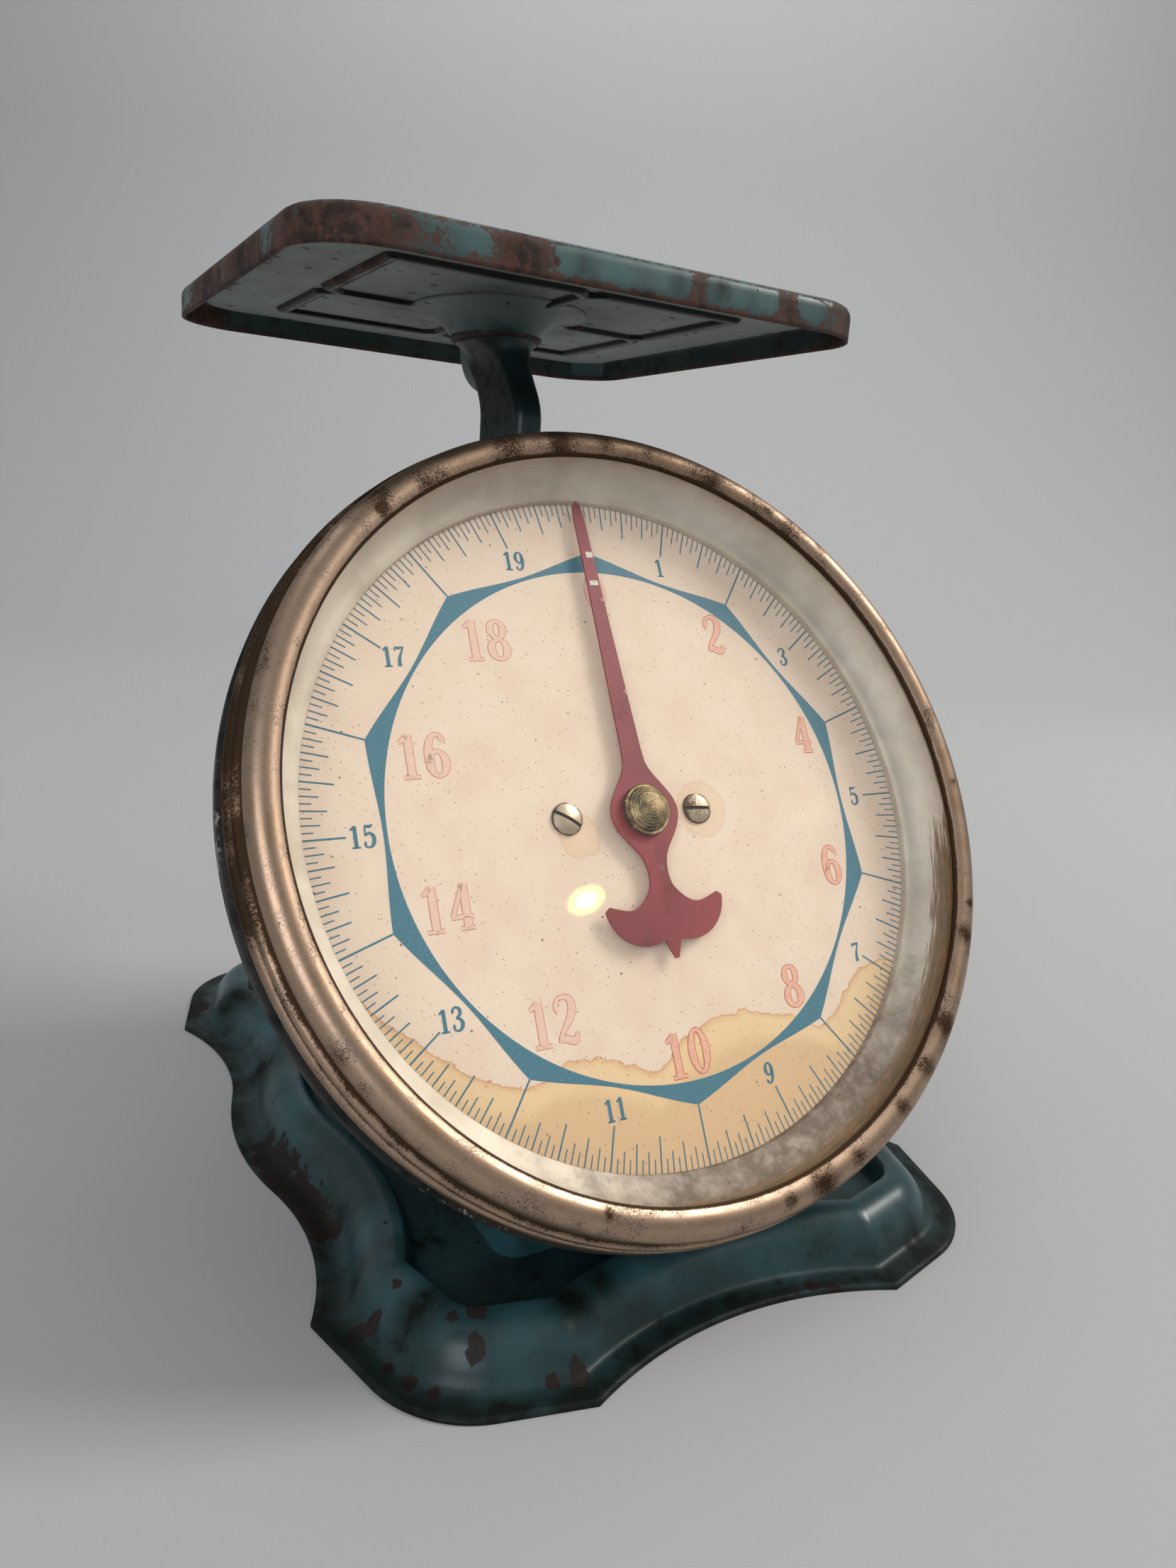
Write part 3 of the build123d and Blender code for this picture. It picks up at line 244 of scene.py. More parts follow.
def quarter_outline(inset):
    """Right front quarter of the outline, moved inwards: hollow arc, lobe and side, each arc about its own
    centre with its radius plus or minus the inset, and each cusp where line and arc then cross."""
    inset = np.asarray(inset, float)[:, None]
    cusp_front, corner, cusp_side = np.array([(40.6, -119.0), (75.8, -110.5), (86.0, -74.0)])
    hollow_front, hollow_side, bulge = np.array([(0, -206.08), (146.5, -43.4), (0.96, 0)])
    lobe_radius, hollow_front_radius, hollow_side_radius, bulge_radius = 27.0, 96.08, 67.8, 84.04
    way_in, way_out = [(b - a) / np.hypot(*(b - a)) for a, b in ((cusp_front, corner), (corner, cusp_side))]
    in_turn, out_turn = atan2(way_in[1], way_in[0]), atan2(way_out[1], way_out[0])
    reach = lobe_radius * np.tan((out_turn - in_turn) / 2)
    lobe_centre = corner - reach * way_in + lobe_radius * np.array([-way_in[1], way_in[0]])

    def crossing(start, way, centre, radius, sign):
        """Where the line from start crosses the circle: s = -b +- sqrt(b * b - c), both from the centre."""
        from_centre = start + inset * np.array([-way[1], way[0]]) - centre
        b = from_centre @ way
        c = (from_centre ** 2).sum(1) - ((radius + inset) ** 2)[:, 0]
        return from_centre + centre + (-b + sign * np.sqrt(b * b - c))[:, None] * way

    def arc(centre, radius, start, end, count):
        """Points of an arc about centre, from angle start to angle end."""
        angle = start + (end - start) * np.linspace(0, 1, count)
        return np.stack([centre[0] + radius * np.cos(angle), centre[1] + radius * np.sin(angle)], -1)

    def angle_of(points, centre):
        """Angle of each point seen from centre, as a column."""
        return np.arctan2(points[:, 1] - centre[1], points[:, 0] - centre[0])[:, None]

    first = crossing(cusp_front, way_in, hollow_front, hollow_front_radius, 1)
    last = crossing(cusp_side, way_out, hollow_side, hollow_side_radius, -1)
    join = atan2(bulge[1] - hollow_side[1], bulge[0] - hollow_side[0])
    lobe = arc(lobe_centre, lobe_radius - inset, in_turn - pi / 2, out_turn - pi / 2, 24)
    hollow = arc(hollow_front, hollow_front_radius + inset, pi / 2, angle_of(first, hollow_front), 26)
    side_hollow = arc(hollow_side, hollow_side_radius + inset, angle_of(last, hollow_side) % (2 * pi),
                      join % (2 * pi), 26)
    side_bulge = arc(bulge, bulge_radius - inset, join - pi, 0, 16)
    leg = np.linspace(0, 1, 14)[1:-1, None]
    leg_in = first[:, None] + leg * (lobe[:, :1] - first[:, None])
    leg_out = lobe[:, -1:] + leg * (last[:, None] - lobe[:, -1:])
    return np.concatenate([hollow, leg_in, lobe, leg_out, side_hollow, side_bulge[:, 1:]], 1)


def rounded(points, rounds=3):
    """A line with its corners cut off again and again, each time a quarter in from both ends of a side."""
    points = np.asarray(points, float)
    for _ in range(rounds):
        cuts = np.stack([0.75 * points[:-1] + 0.25 * points[1:], 0.25 * points[:-1] + 0.75 * points[1:]], 1)
        points = np.r_[points[:1], cuts.reshape(-1, points.shape[1])[1:-1], points[-1:]]
    return points


def rise(value, start, end):
    """How far a value has come from start to end: (value - start) / (end - start), kept from 0 to 1."""
    return np.clip((value - start) / (end - start), 0, 1)


def nearness(x, y, places):
    """Nearness to the closest of some places (x, y, radius): 1 at its middle, 0 at its radius."""
    value = np.zeros(np.shape(x))
    for place_x, place_y, radius in places:
        value = np.maximum(value, 1 - np.hypot(x - place_x, y - place_y) / radius)
    return value


def make_sheet(piece, thickness, offset=-1):
    """Turn a skin into sheet of a thickness in mm, which grows inwards unless offset says otherwise."""
    sheet = piece.modifiers.new("sheet", "SOLIDIFY")
    sheet.thickness = thickness * mm
    sheet.offset = offset


def enamel(name, paint, shade, rust=("2F1E18", "2A1813", "170D0B"), chips=0.5, gloss=0.3):
    """Stoved enamel on steel. Two tones lie in clouds, with blots of grime and a faint orange peel. Soil
    and painted shade darken it, dust greys it, and scuffs and painted glints mark it pale, where those
    attributes are high. Where wear times a ragged noise is high it has chipped to rust, darker towards a
    chip's middle and filmed here and there."""
    material, add = new_material(name)
    place = add.object_place()
    clouds = add.noise(place, 24 * mm, 5)
    blots = add.noise(place, 8 * mm, 5, 0.62)
    ragged = add.noise(place, 2.6 * mm, 6, 0.7)
    peel = add.noise(place, 1.6 * mm)
    seeds = add("TexVoronoi", {"Vector": place, "Scale": 1 / (7 * mm)})
    wear, soil, dust, scuff = add.attributes("wear", "soil", "dust", "scuff")
    tone = add.ramp(clouds, (0.38, shade), (0.62, paint))
    grime = add.ramp(blots, (0.54, 0.0), (0.78, 0.45))
    uneven = add.math("MULTIPLY_ADD", blots, 1.1, 0.4)
    patchy = add.span(blots, 0.38, 0.6, 0.5)
    # The soil attribute holds dirt and painted shade; both darken the colour towards 131A17.
    soiling_and_shade = add.math("MULTIPLY_ADD", soil, uneven, grime, use_clamp=True)
    soiled_and_shaded = add.mix(soiling_and_shade, tone, "131A17")
    dusting = add.math("MULTIPLY", dust, patchy)
    dusty = add.mix(dusting, soiled_and_shaded, "7A7C75")
    # The scuff attribute holds pale nicks, and along the tray's top edge a painted glint.
    nick_and_glint_mask = add.math("MULTIPLY", scuff, ragged)
    nick_and_glint_share = add.span(nick_and_glint_mask, 0.52, 0.6, 0, 0.8)
    scuffed_and_glinting = add.mix(nick_and_glint_share, dusty, "A7A69C")
    spots = add.math("SUBTRACT", 0.25, seeds)
    some = add.math("MULTIPLY", spots, seeds.outputs["Color"])
    few = add.math("MULTIPLY", some, 4 * chips)
    spread = add.math("MAXIMUM", wear, few)
    tooth = add.math("MULTIPLY_ADD", ragged, 3.0, -0.6)
    edge = add.math("MULTIPLY", tooth, spread)
    bare = add.ramp(edge, (0.2, 0.0), (0.225, 1.0))
    rusted = add.ramp(edge, *zip((0.2, 0.36, 0.62), rust))
    film = add.span(blots, 0.44, 0.62, 0, 0.7)
    filmed = add.mix(film, rusted, "27261F")
    colour = add.mix(bare, scuffed_and_glinting, filmed)
    dirt_and_shade = add.math("MULTIPLY_ADD", soiling_and_shade, 0.5, dusting)
    dulling = add.math("MAXIMUM", bare, dirt_and_shade)
    dull = add.span(dulling, 0, 1, gloss, 0.7)
    shine = add.span(soiling_and_shade, 0, 1, 0.5, 0.12)
    height = add.math("MULTIPLY_ADD", bare, -1.5, peel)
    bump = add.bump(height, 0.25, 0.05)
    add.surface(colour, dull, Normal=bump, IOR=1.52, Specular_IOR_Level=shine)
    return material


# Inset from the outline and height of the stamping, from the flange over the ridge to the floor.
ridge_line = rounded([(0, 1.0), (3.5, 1.0), (6.2, 1.15), (7.6, 2.6), (9.0, 5.6), (11.2, 8.7), (13.8, 10.7),
                      (16.6, 11.5), (18.6, 11.45), (19.4, 11.0), (20.2, 9.2), (21.4, 6.4), (22.6, 5.5),
                      (25.5, 5.5)])
quarter = quarter_outline(ridge_line[:, 0])
half = np.concatenate([quarter, quarter[:, -2::-1] * (1, -1)], 1)
outline = np.concatenate([half, half[:, -2:0:-1] * (-1, 1)], 1)
inward = np.linspace(1, 0, 12)[1:, None, None]
rings = np.concatenate([outline, outline[-1] * inward])
levels = np.r_[ridge_line[:, 1], np.full(len(inward), ridge_line[-1, 1])]
base_points = np.dstack([rings + (0, base_y), np.broadcast_to(levels[:, None], rings.shape[:2])])
# Chips and smudges: place from the right and the back, and radius.
base_chips = [(-79, -6, 5), (-79, -13, 7), (-78.5, -20, 7.5), (-78, -27, 8), (-77, -34, 8.5), (-76, -41, 7.5),
              (-74.5, -48, 6), (-83.5, 83, 8), (-79, 86, 6), (-78.3, -83.3, 3), (-75.7, -95, 2.4),
              (-73.3, -100.2, 2.8), (-69.8, -105, 2.4), (-75.2, -84.5, 2.4), (-69.7, -82.7, 1.8),
              (-57.8, -98.4, 3.4), (-60.7, -104.3, 3.0), (-47.2, -112.7, 2.2), (-41.7, -113.7, 3.4),
              (21.8, -112, 3), (26.3, -114.5, 2.6), (30.8, -119.2, 3.2), (8.3, -113, 1.6), (-63, -97.5, 2.2)]
smudges = [(-39, -103.4, 8), (-68.6, -91.4, 8), (14.8, -108.1, 4.5), (31, -112.3, 3), (-26.3, -112, 6),
           (58, -110, 5), (-30, -101, 5), (54.5, -111.2, 4), (-74, 30, 14), (-70, 70, 12)]
plan_x, plan_y = base_points[..., 0], base_points[..., 1]
insets = np.r_[ridge_line[:, 0], np.full(len(inward), 40)][:, None] * np.ones_like(plan_x)
flange_soil = np.clip(1.25 - insets / 9, 0, 0.95)
# The sunk floor under the body is painted dark as shade.
floor_shade = np.clip((insets - 18.8) / 3, 0, 0.6)
smudge_soil = nearness(plan_x, plan_y, smudges) * 1.2
base_teal = enamel("stoved_enamel_base", "33595F", "1C3435", ("20130F", "1C100D", "120A08"), 0.6, 0.29)
base_shell = put_mesh("base_shell", base_points, grid_faces(*plan_x.shape, loop_columns=True), base_teal,
                      values={"wear": nearness(plan_x, plan_y, base_chips) * 0.7,
                              "soil": np.maximum.reduce([flange_soil, floor_shade, smudge_soil])})
make_sheet(base_shell, 1.0)
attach(base_shell, "stand")
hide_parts("base")

# ------------------------------------------------------------ body
# A folded wrap of sheet steel with a top plate and a screwed back, in the same stoved teal. Its solids
# keep their shape here and take the enamel; most of it stands in the shade of the dial. The enamel is
# given a lighter teal than the base's, as painted light on its front corner.


def finish_nodes(material, *names):
    """Give solids of the frame a finish in every slot they have."""
    for name in names:
        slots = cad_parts[name].data.materials
        slots.clear()
        slots.append(material)


# A lighter teal than the base's, as painted light on the front corner that shows.
body_teal = enamel("stoved_enamel_body", "37666E", "244850", chips=0.7)
finish_nodes(body_teal, "body_wrap", "body_top", "back_cover")

# ------------------------------------------------------------ dial pan
# A spun steel pan riveted to the slanted front; only the turned edge of its flange shows, behind the
# bezel, black-brown and scuffed where the enamel has gone.
dial_centre = np.array([0, base_y - 53.0, 101.5])
slant = radians(30)


def on_dial(x, up, out):
    """Points given across the dial, up its face and out towards the reader, turned back by the slant."""
    x, up, out = np.broadcast_arrays(x, up, out)
    return dial_centre + np.stack([x, up * sin(slant) - out * cos(slant),
                                   up * cos(slant) + out * sin(slant)], -1)


def spun(name, section, material, steps=256, values=None):
    """A closed section (radius, out) turned once round the dial's axis: across and up are radius times the
    sine and cosine of the angle. values is given the clock angle in degrees, the radius and out."""
    section = np.asarray(section, float)
    round_angle = np.arange(steps) * 2 * pi / steps
    radius = section[:, 0] * np.ones((steps, 1))
    points = on_dial(radius * np.sin(round_angle)[:, None], radius * np.cos(round_angle)[:, None],
                     section[:, 1])
    clock = np.degrees(round_angle)[:, None] * np.ones_like(radius)
    return put_mesh(name, points, grid_faces(steps, len(section), True, True), material,
                    values=values and values(clock, radius, section[:, 1] * np.ones_like(radius)))


def pan_scuffs(clock, radius, out):
    """The flange's edge is soiled nearly black and nicked; the bowl is clean."""
    edge = rise(radius, 95, 99)
    return {"soil": edge * 0.7, "scuff": edge * (0.82 + 0.14 * np.sin(np.radians(clock * 7)))}


pan_section = [(4.02, -10), (84, -10), (84.3, -10), (92.3, -0.55), (92.5, -0.4), (99.0, -0.4), (99.1, -2.6),
               (99.4, -2.9), (99.9, -2.7), (100, 0.3), (99.6, 0.5), (92.2, 0.5), (91.9, 0.35), (83.8, -9),
               (83.5, -9.1), (4.02, -9.1)]
pan_enamel = enamel("scuffed_enamel_pan", "2A2A28", "33201A", chips=0.7)
pan = spun("dial_pan_shell", pan_section, pan_enamel, values=pan_scuffs)
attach(pan, "stand")
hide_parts("dial_pan")

# ------------------------------------------------------------ dial face
# A tin plate faced with cream paper, printed in teal and pale red. The paper has yellowed, is specked
# with foxing, and water has crept in from its lower edge and dried to a scalloped tan tide line.
paper, add = new_material("printed_dial_paper")
place = add("UVMap", uv_map="dial_mm")
fibre = add.noise(place, 0.625, 4)
yellowing = add.noise(place, 16, 5, 0.6)
wobble = add.noise(place, 3.5, 6, 0.68)
water, faint = add.attributes("water", "faint")
tide = add.math("MULTIPLY_ADD", wobble, 0.2, water)
plain = add.ramp(yellowing, (0.36, "DDC4AD"), (0.6, "E1CCB7"))
wetted = add.ramp(tide, (0.5, "DCBF9D"), (0.507, "C4916A"), (0.53, "D8AE82"), (0.6, "E0C195"),
                  (0.78, "E0C092"), (1.0, "D3AF84"))
wet = add.span(tide, 0.497, 0.505)
wet_faint = add.math("MULTIPLY", wet, faint)
specked = add.mix(wet_faint, plain, wetted)
# Foxing, drawn a little larger than it is: a dense faint one every 1.2 mm, a sparse dark one every 3.4 mm.
for spacing, size, strength in ((1.2, 0.26, 0.5), (3.4, 0.12, 0.85)):
    cells = add("TexVoronoi", {"Vector": place, "Scale": 1 / spacing})
    spot_size = add.math("MULTIPLY", cells.outputs["Color"], size)
    near_spot = add.math("SUBTRACT", spot_size, cells)
    spot = add.span(near_spot, 0, size / 4, 0, strength)
    specked = add.mix(spot, specked, "6B4B36")
grain = add.bump(fibre, 0.2, 0.04)
add.surface(specked, 0.62, Normal=grain)


def dial_uv(piece):
    """A map of a piece in dial millimetres: x across and y up the face."""
    mesh = piece.data
    spots = np.empty(len(mesh.vertices) * 3)
    mesh.vertices.foreach_get("co", spots)
    from_centre = spots.reshape(-1, 3) / mm - dial_centre
    flat = np.stack([from_centre[:, 0], from_centre @ (0, sin(slant), cos(slant))], -1)
    corners = np.empty(len(mesh.loops), np.int32)
    mesh.loops.foreach_get("vertex_index", corners)
    mesh.uv_layers.new(name="dial_mm").data.foreach_set("uv", flat[corners].astype(np.float32).ravel())


# The tide line: clock angle in degrees and radius; the paper outside it has been wet. Each dial screw has
# a ring round it, given by its place across and up, and its radius.
tide_line = np.array([(100, 101), (112, 96), (119.5, 89.6), (122.8, 85.6), (124.4, 79.0), (129, 73.7),
                      (134.9, 72.0), (141, 72.5), (146, 70.5), (149, 63.5), (152.6, 60.3), (160, 53.8),
                      (170.8, 52.0), (180.3, 54.4), (188.6, 61.8), (194.7, 60.0), (202.9, 59.6), (210, 62.9),
                      (213, 68.9), (217, 72.6), (225.9, 76.3), (231.4, 77.3), (237.2, 79.5), (242.9, 82.0),
                      (255, 87), (268, 96), (280, 101)])
screw_rings = [(18.6, -0.2, 7.4), (-17.6, -4.2, 5.6)]


def water_marks(clock, radius, out):
    """Depth behind the tide line, or inside a ring round a screw, as 0.05 a mm from 0.4; rings are faint."""
    x, up = radius * np.sin(np.radians(clock)), radius * np.cos(np.radians(clock))
    beyond = radius - np.interp(clock, *tide_line.T)
    inside = np.max([size - np.hypot(x - ring_x, up - ring_up) for ring_x, ring_up, size in screw_rings], 0)
    return {"water": 0.4 + 0.05 * np.clip(np.maximum(beyond, np.minimum(inside, 1.2)), -6, 11),
            "faint": np.where(inside > beyond, 0.4, 1.0)}


disc_hole, disc_edge, disc_thick, disc_rings = 4.2, 90.9, 0.6, 150
disc_section = np.r_[np.c_[np.linspace(disc_hole, disc_edge, disc_rings), np.zeros(disc_rings)],
                     [(disc_edge, -disc_thick), (disc_hole, -disc_thick)]]
dial_face = spun("dial_face", disc_section, paper, 480, water_marks)
dial_uv(dial_face)
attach(dial_face, "stand")
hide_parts("dial_plate")

# ------------------------------------------------------------ dial print
# 320 ounce strokes with longer ones at each pound, a ten-pointed teal band, small teal odd pounds and
# large faded red even pounds. All of it is a film of ink, laid just over the paper.
ink = 0.03


def printed(name, x, up, faces, material, lift=ink):
    """Flat print on the dial from points across and up. Where it is bare paper it carries the water marks."""
    x, up = np.ravel(x), np.ravel(up)
    clock = np.degrees(np.arctan2(x, up)) % 360
    marks = water_marks(clock, np.hypot(x, up), 0) if material == paper else None
    piece = put_mesh(name, on_dial(x, up, lift), faces, material, values=marks, flat=True)
    dial_uv(piece)
    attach(piece, "stand")


def ink_material(name, colour, thin, stipple=0.0):
    """Old printing ink: its tone mottled where it has worn thin, and for the red ones a dotted tint."""
    material, add = new_material(name)
    place = add("UVMap", uv_map="dial_mm")
    mottle = add.noise(place, 1 / 2.4, 4)
    dots = add("TexVoronoi", {"Vector": place, "Scale": 2.6, "Randomness": 0.35})
    worn = add.span(mottle, 0.45, 0.75, 0, 0.45)
    dotted = add.span(dots, 0.25, 0.45, 0, stipple)
    fade = add.math("MAXIMUM", worn, dotted)
    add.surface(add.mix(fade, colour, thin), 0.55)
    return material


teal_ink = ink_material("teal_printing_ink", "2E687B", "7299A0")
red_inks = [ink_material("red_outline_ink", "C24E38", "D2806A"),
            ink_material("red_tint_ink", "D4785F", "E2B49A", 1.0)]
faded_inks = [ink_material("faded_outline_ink", "CF8270", "DAA692"),
              ink_material("faded_tint_ink", "DCA18C", "E0C2AC", 1.0)]

# A stroke's inner end by its rank: even pound, odd pound, half, quarter, two ounces, one ounce.
strokes = 320
ounce = np.arange(strokes)
rank = np.select([ounce % every == 0 for every in (32, 16, 8, 4, 2)], [0, 1, 2, 3, 4], 5)
inner_end = np.array([70.0, 73.7, 75.6, 77.2, 78.9, 80.5])[rank]
half_stroke = np.array([0.23, 0.22, 0.2, 0.18, 0.16, 0.15])[rank]
outer_end = np.full(strokes, 86.0)
stroke_angle = ounce * 2 * pi / strokes
along = np.stack([inner_end, inner_end, outer_end, outer_end], -1)
beside = np.stack([-half_stroke, half_stroke, half_stroke, -half_stroke], -1)
stroke_sin, stroke_cos = np.sin(stroke_angle)[:, None], np.cos(stroke_angle)[:, None]
printed("ounce_strokes", along * stroke_sin + beside * stroke_cos, along * stroke_cos - beside * stroke_sin,
        np.arange(4 * strokes).reshape(-1, 4)[:, ::-1], teal_ink)

# The band's outer edge runs between points at every even pound and dips a little more than a chord.
point_radius, dip_radius, band_inner, band_steps = 70.0, 65.5, 64.5, 400
band_angle = np.arange(band_steps) * 2 * pi / band_steps
from_point = np.abs((band_angle + pi / 10) % (pi / 5) - pi / 10)
chord = point_radius * np.cos(pi / 10) / np.cos(pi / 10 - from_point)
sag = (point_radius * np.cos(pi / 10) - dip_radius) * np.sin(from_point * 5) ** 2
edges = np.stack([np.full(band_steps, band_inner), chord - sag])
printed("ten_pointed_band", edges * np.sin(band_angle), edges * np.cos(band_angle),
        grid_faces(2, band_steps, loop_columns=True), teal_ink)


def ring_stroke(centre_x, centre_y, across, high, thick, thin):
    """A ring drawn with a broad pen: points (x, y, half width), thick at its sides and thin at its ends."""
    turn = np.linspace(0, 2 * pi, 40)
    return np.c_[centre_x + across * np.cos(turn), centre_y + high * np.sin(turn),
                 thin + (thick - thin) * np.cos(turn) ** 2]


# Figures in a cell 60 wide and 100 high: strokes of (x, y, half width), rounded where they bend.
cell_width, figure_middle = 0.6, (0.27, 0.5)
figures = {
    "0": [ring_stroke(27, 50, 18.5, 46, 8.5, 3.5)],
    "1": [[(27, 97, 8), (27, 3, 8)], [(6, 80, 2.2), (16, 85, 4.5), (27, 94, 5)], [(8, 3, 3), (46, 3, 3)]],
    "2": [[(14, 72, 9), (7, 76, 5), (10, 93, 3.5), (27, 99, 3.5), (44, 93, 7), (46, 68, 8.5), (30, 42, 6),
           (10, 20, 3.5), (6, 5, 3)],
          [(6, 6, 3), (16, 14, 6), (32, 5, 7.5), (44, 4, 6), (49, 22, 2)]],
    "3": [[(13, 78, 8.5), (7, 83, 5), (14, 97, 3.3), (30, 99, 4), (44, 88, 7.5), (42, 66, 7), (22, 53, 3)],
          [(22, 53, 3), (42, 48, 6), (50, 26, 9), (38, 3, 6), (20, 1, 3.3), (6, 10, 3.5), (8, 22, 5),
           (14, 24, 8.5)]],
    "4": [[(37, 97, 4), (5, 28, 3.5)], [(3, 27, 3.5), (53, 27, 3.5)], [(37, 97, 8), (37, 3, 8)],
          [(20, 3, 3), (53, 3, 3)]],
    "5": [[(12, 95, 4.5), (28, 90, 6.5), (42, 93, 5), (46, 100, 2)], [(13, 95, 3), (11, 50, 3)],
          [(11, 50, 2), (18, 60, 3.5), (34, 63, 5.5), (50, 46, 9), (46, 12, 7.5), (26, -1, 3.5), (6, 6, 3.5),
           (7, 19, 5), (13, 22, 8.5)]],
    "6": [ring_stroke(28, 31, 18, 27.5, 8.5, 3.5),
          [(41, 80, 8.5), (44, 84, 6), (40, 94, 3.5), (29, 97.5, 3.3), (16, 87, 6), (9, 62, 8.5),
           (9, 32, 8.5)]],
    "7": [[(5, 76, 2), (7, 97, 2.5)], [(7, 93, 4.5), (20, 90, 6.5), (34, 92, 5), (48, 96, 3)],
          [(48, 96, 3), (34, 68, 3.5), (22, 38, 7), (21, 3, 9)]],
    "8": [ring_stroke(27, 75.5, 15.5, 20.5, 7.5, 3.3), ring_stroke(27, 27, 19, 23.5, 8.5, 3.5)],
}
figures["9"] = [np.array([55, 100, 0]) + np.asarray(stroke) * (-1, -1, 1) for stroke in figures["6"]]


def ribbon(stroke, grow):
    """Both edges of a stroke: its rounded middle line, moved out along its normal by the half width."""
    line = rounded(np.asarray(stroke) / 100, 0 if len(stroke) > 20 else 3)
    way = np.gradient(line[:, :2], axis=0)
    normal = np.c_[-way[:, 1], way[:, 0]] / np.hypot(*way.T)[:, None] * (line[:, 2:] + grow)
    return line[:, :2] - normal, line[:, :2] + normal


def printed_number(name, text, x, up, height, pitch, material, grow=0.0, lift=ink):
    """A number in figures of a height and a pitch, both in mm, its middle at x across and up."""
    spots, quads, count = [], [], 0
    for place, figure in enumerate(text):
        shift = (place + 0.5 - len(text) / 2) * pitch
        for stroke in figures[figure]:
            left, right = ribbon(stroke, grow)
            rows = np.stack([left, right], 1).reshape(-1, 2)
            spots.append((rows - figure_middle) * (pitch / cell_width, height) + (x + shift, up))
            quads.append(grid_faces(len(left), 2) + count)
            count += len(rows)
    spots = np.concatenate(spots)
    printed(name, spots[:, 0], spots[:, 1], np.concatenate(quads), material, lift)


# Circles of the figures' middles, which stand off a little here and there, and the figures' height and
# pitch. An even pound is a red outline, a gap of bare paper and a tint, each laid over the one before.
figure_circle = {10: 58.1, 8: 58.7, 7: 71.6, 6: 59.3, 4: 60.0, 2: 58.9, 0: 58.9}
odd_circle, odd_size, even_circle, even_size = 70.2, (5.1, 3.0), 56.3, (10.6, 6.4)
for pound in range(20):
    angle = pound * pi / 10
    circle = figure_circle.get(pound, odd_circle if pound % 2 else even_circle)
    middle = circle * sin(angle), circle * cos(angle)
    line_ink, tint_ink = red_inks if 2 <= pound <= 10 else faded_inks
    if pound % 2:
        printed_number(f"figure_{pound}", str(pound), *middle, *odd_size, teal_ink, 0.012)
        continue
    for layer, (part, material, grow) in enumerate([("line", line_ink, 0.024), ("gap", paper, 0.003),
                                                    ("tint", tint_ink, -0.008)]):
        printed_number(f"figure_{pound}_{part}", str(pound), *middle, *even_size, material, grow,
                       (layer + 1) * ink)

# ------------------------------------------------------------ screws and rivets
# Slotted steel screws and round rivets, turned and pressed, dull and a little rusty. The two that hold
# the dial have low domed heads with a slot milled right across, dirt in the slot and round the edge.


def old_metal(name, bright, dark, roughness=0.38, speck_size=1.2, dirt=0.5, under=None):
    """Worn bare metal: a bright tone clouded and speckled with a dark one, rougher where it is dark.
    Soil and painted shade, given by an attribute, add to the dark. Where under is given, the bright tone
    has worn through to it in clouds."""
    material, add = new_material(name)
    place = add.object_place()
    clouds = add.noise(place, 9 * mm, 4)
    specks = add.noise(place, speck_size * mm, 5, 0.7)
    soil, = add.attributes("soil")
    both = add.math("ADD", clouds, specks)
    # Soil and painted shade from the attribute add to the dark.
    more = add.math("MULTIPLY_ADD", soil, 0.7, both)
    amount = add.span(more, 1.3 - dirt * 0.5, 1.3)
    halved = add.math("MULTIPLY", both, 0.5)
    plate = add.ramp(halved, (0.42, under or bright), (0.56, bright))
    tone = add.mix(amount, plate, dark)
    dull = add.span(amount, 0, 1, roughness, roughness + 0.3)
    bump = add.bump(specks, 0.12, 0.05)
    add.surface(tone, dull, Metallic=1.0, Normal=bump)
    return material


finish_nodes(old_metal("worn_screw_steel", "B4AA9C", "5A4E42"), "cover_screws", "foot_screws",
             "frame_screws", "pan_rivets", "carriage_rivets", "tray_rivets", "zero_screw")
head_radius, head_rise, head_wall, wall_foot = 4.0, 1.45, 0.55, -0.1
slot_half, slot_deep, dome_drop = 0.42, 0.85, 0.3
dial_screw_steel = old_metal("grimed_screw_steel", "B9A994", "6B5A48", 0.5, 0.9, 0.55)


def screw_head(name, x, up, turn):
    """A head in rows along its slot, each row as long as its chord. Its height falls with the square of the
    radius, a slot is sunk in the three middle rows, and a wall closes it down to the paper."""
    slot_edge = slot_half / head_radius
    beside = np.r_[np.linspace(-1, -0.25, 9), -slot_edge, -slot_edge]
    beside = np.r_[beside, 0, -beside[::-1]] * 0.999
    sunk = (np.abs(np.arange(len(beside)) - len(beside) // 2) < 2)[:, None]
    along = np.r_[-1, np.linspace(-1, 1, 17), 1][None, :] * np.sqrt(1 - beside ** 2)[:, None]
    beside = beside[:, None] * np.ones_like(along)
    dome = head_wall + (head_rise - head_wall) * (1 - along ** 2 - beside ** 2)
    height = np.where(sunk, dome.clip(head_rise - dome_drop) - slot_deep, dome)
    soil = np.where(sunk, 1.0, np.clip((along ** 2 + beside ** 2 - 0.75) * 3, 0, 0.8))
    height[:, [0, -1]] = wall_foot
    height[[0, -1]] = np.minimum(height[[0, -1]], wall_foot)
    head_x = x + head_radius * (along * cos(turn) - beside * sin(turn))
    head_up = up + head_radius * (along * sin(turn) + beside * cos(turn))
    head = put_mesh(name, on_dial(head_x, head_up, height), grid_faces(*along.shape), dial_screw_steel, 30,
                    {"soil": soil})
    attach(head, "stand")
    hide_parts("dial_screws")


screw_head("dial_screw_left", -20.4, 0.0, radians(-33))
screw_head("dial_screw_right", 17.0, 0.0, radians(-4))

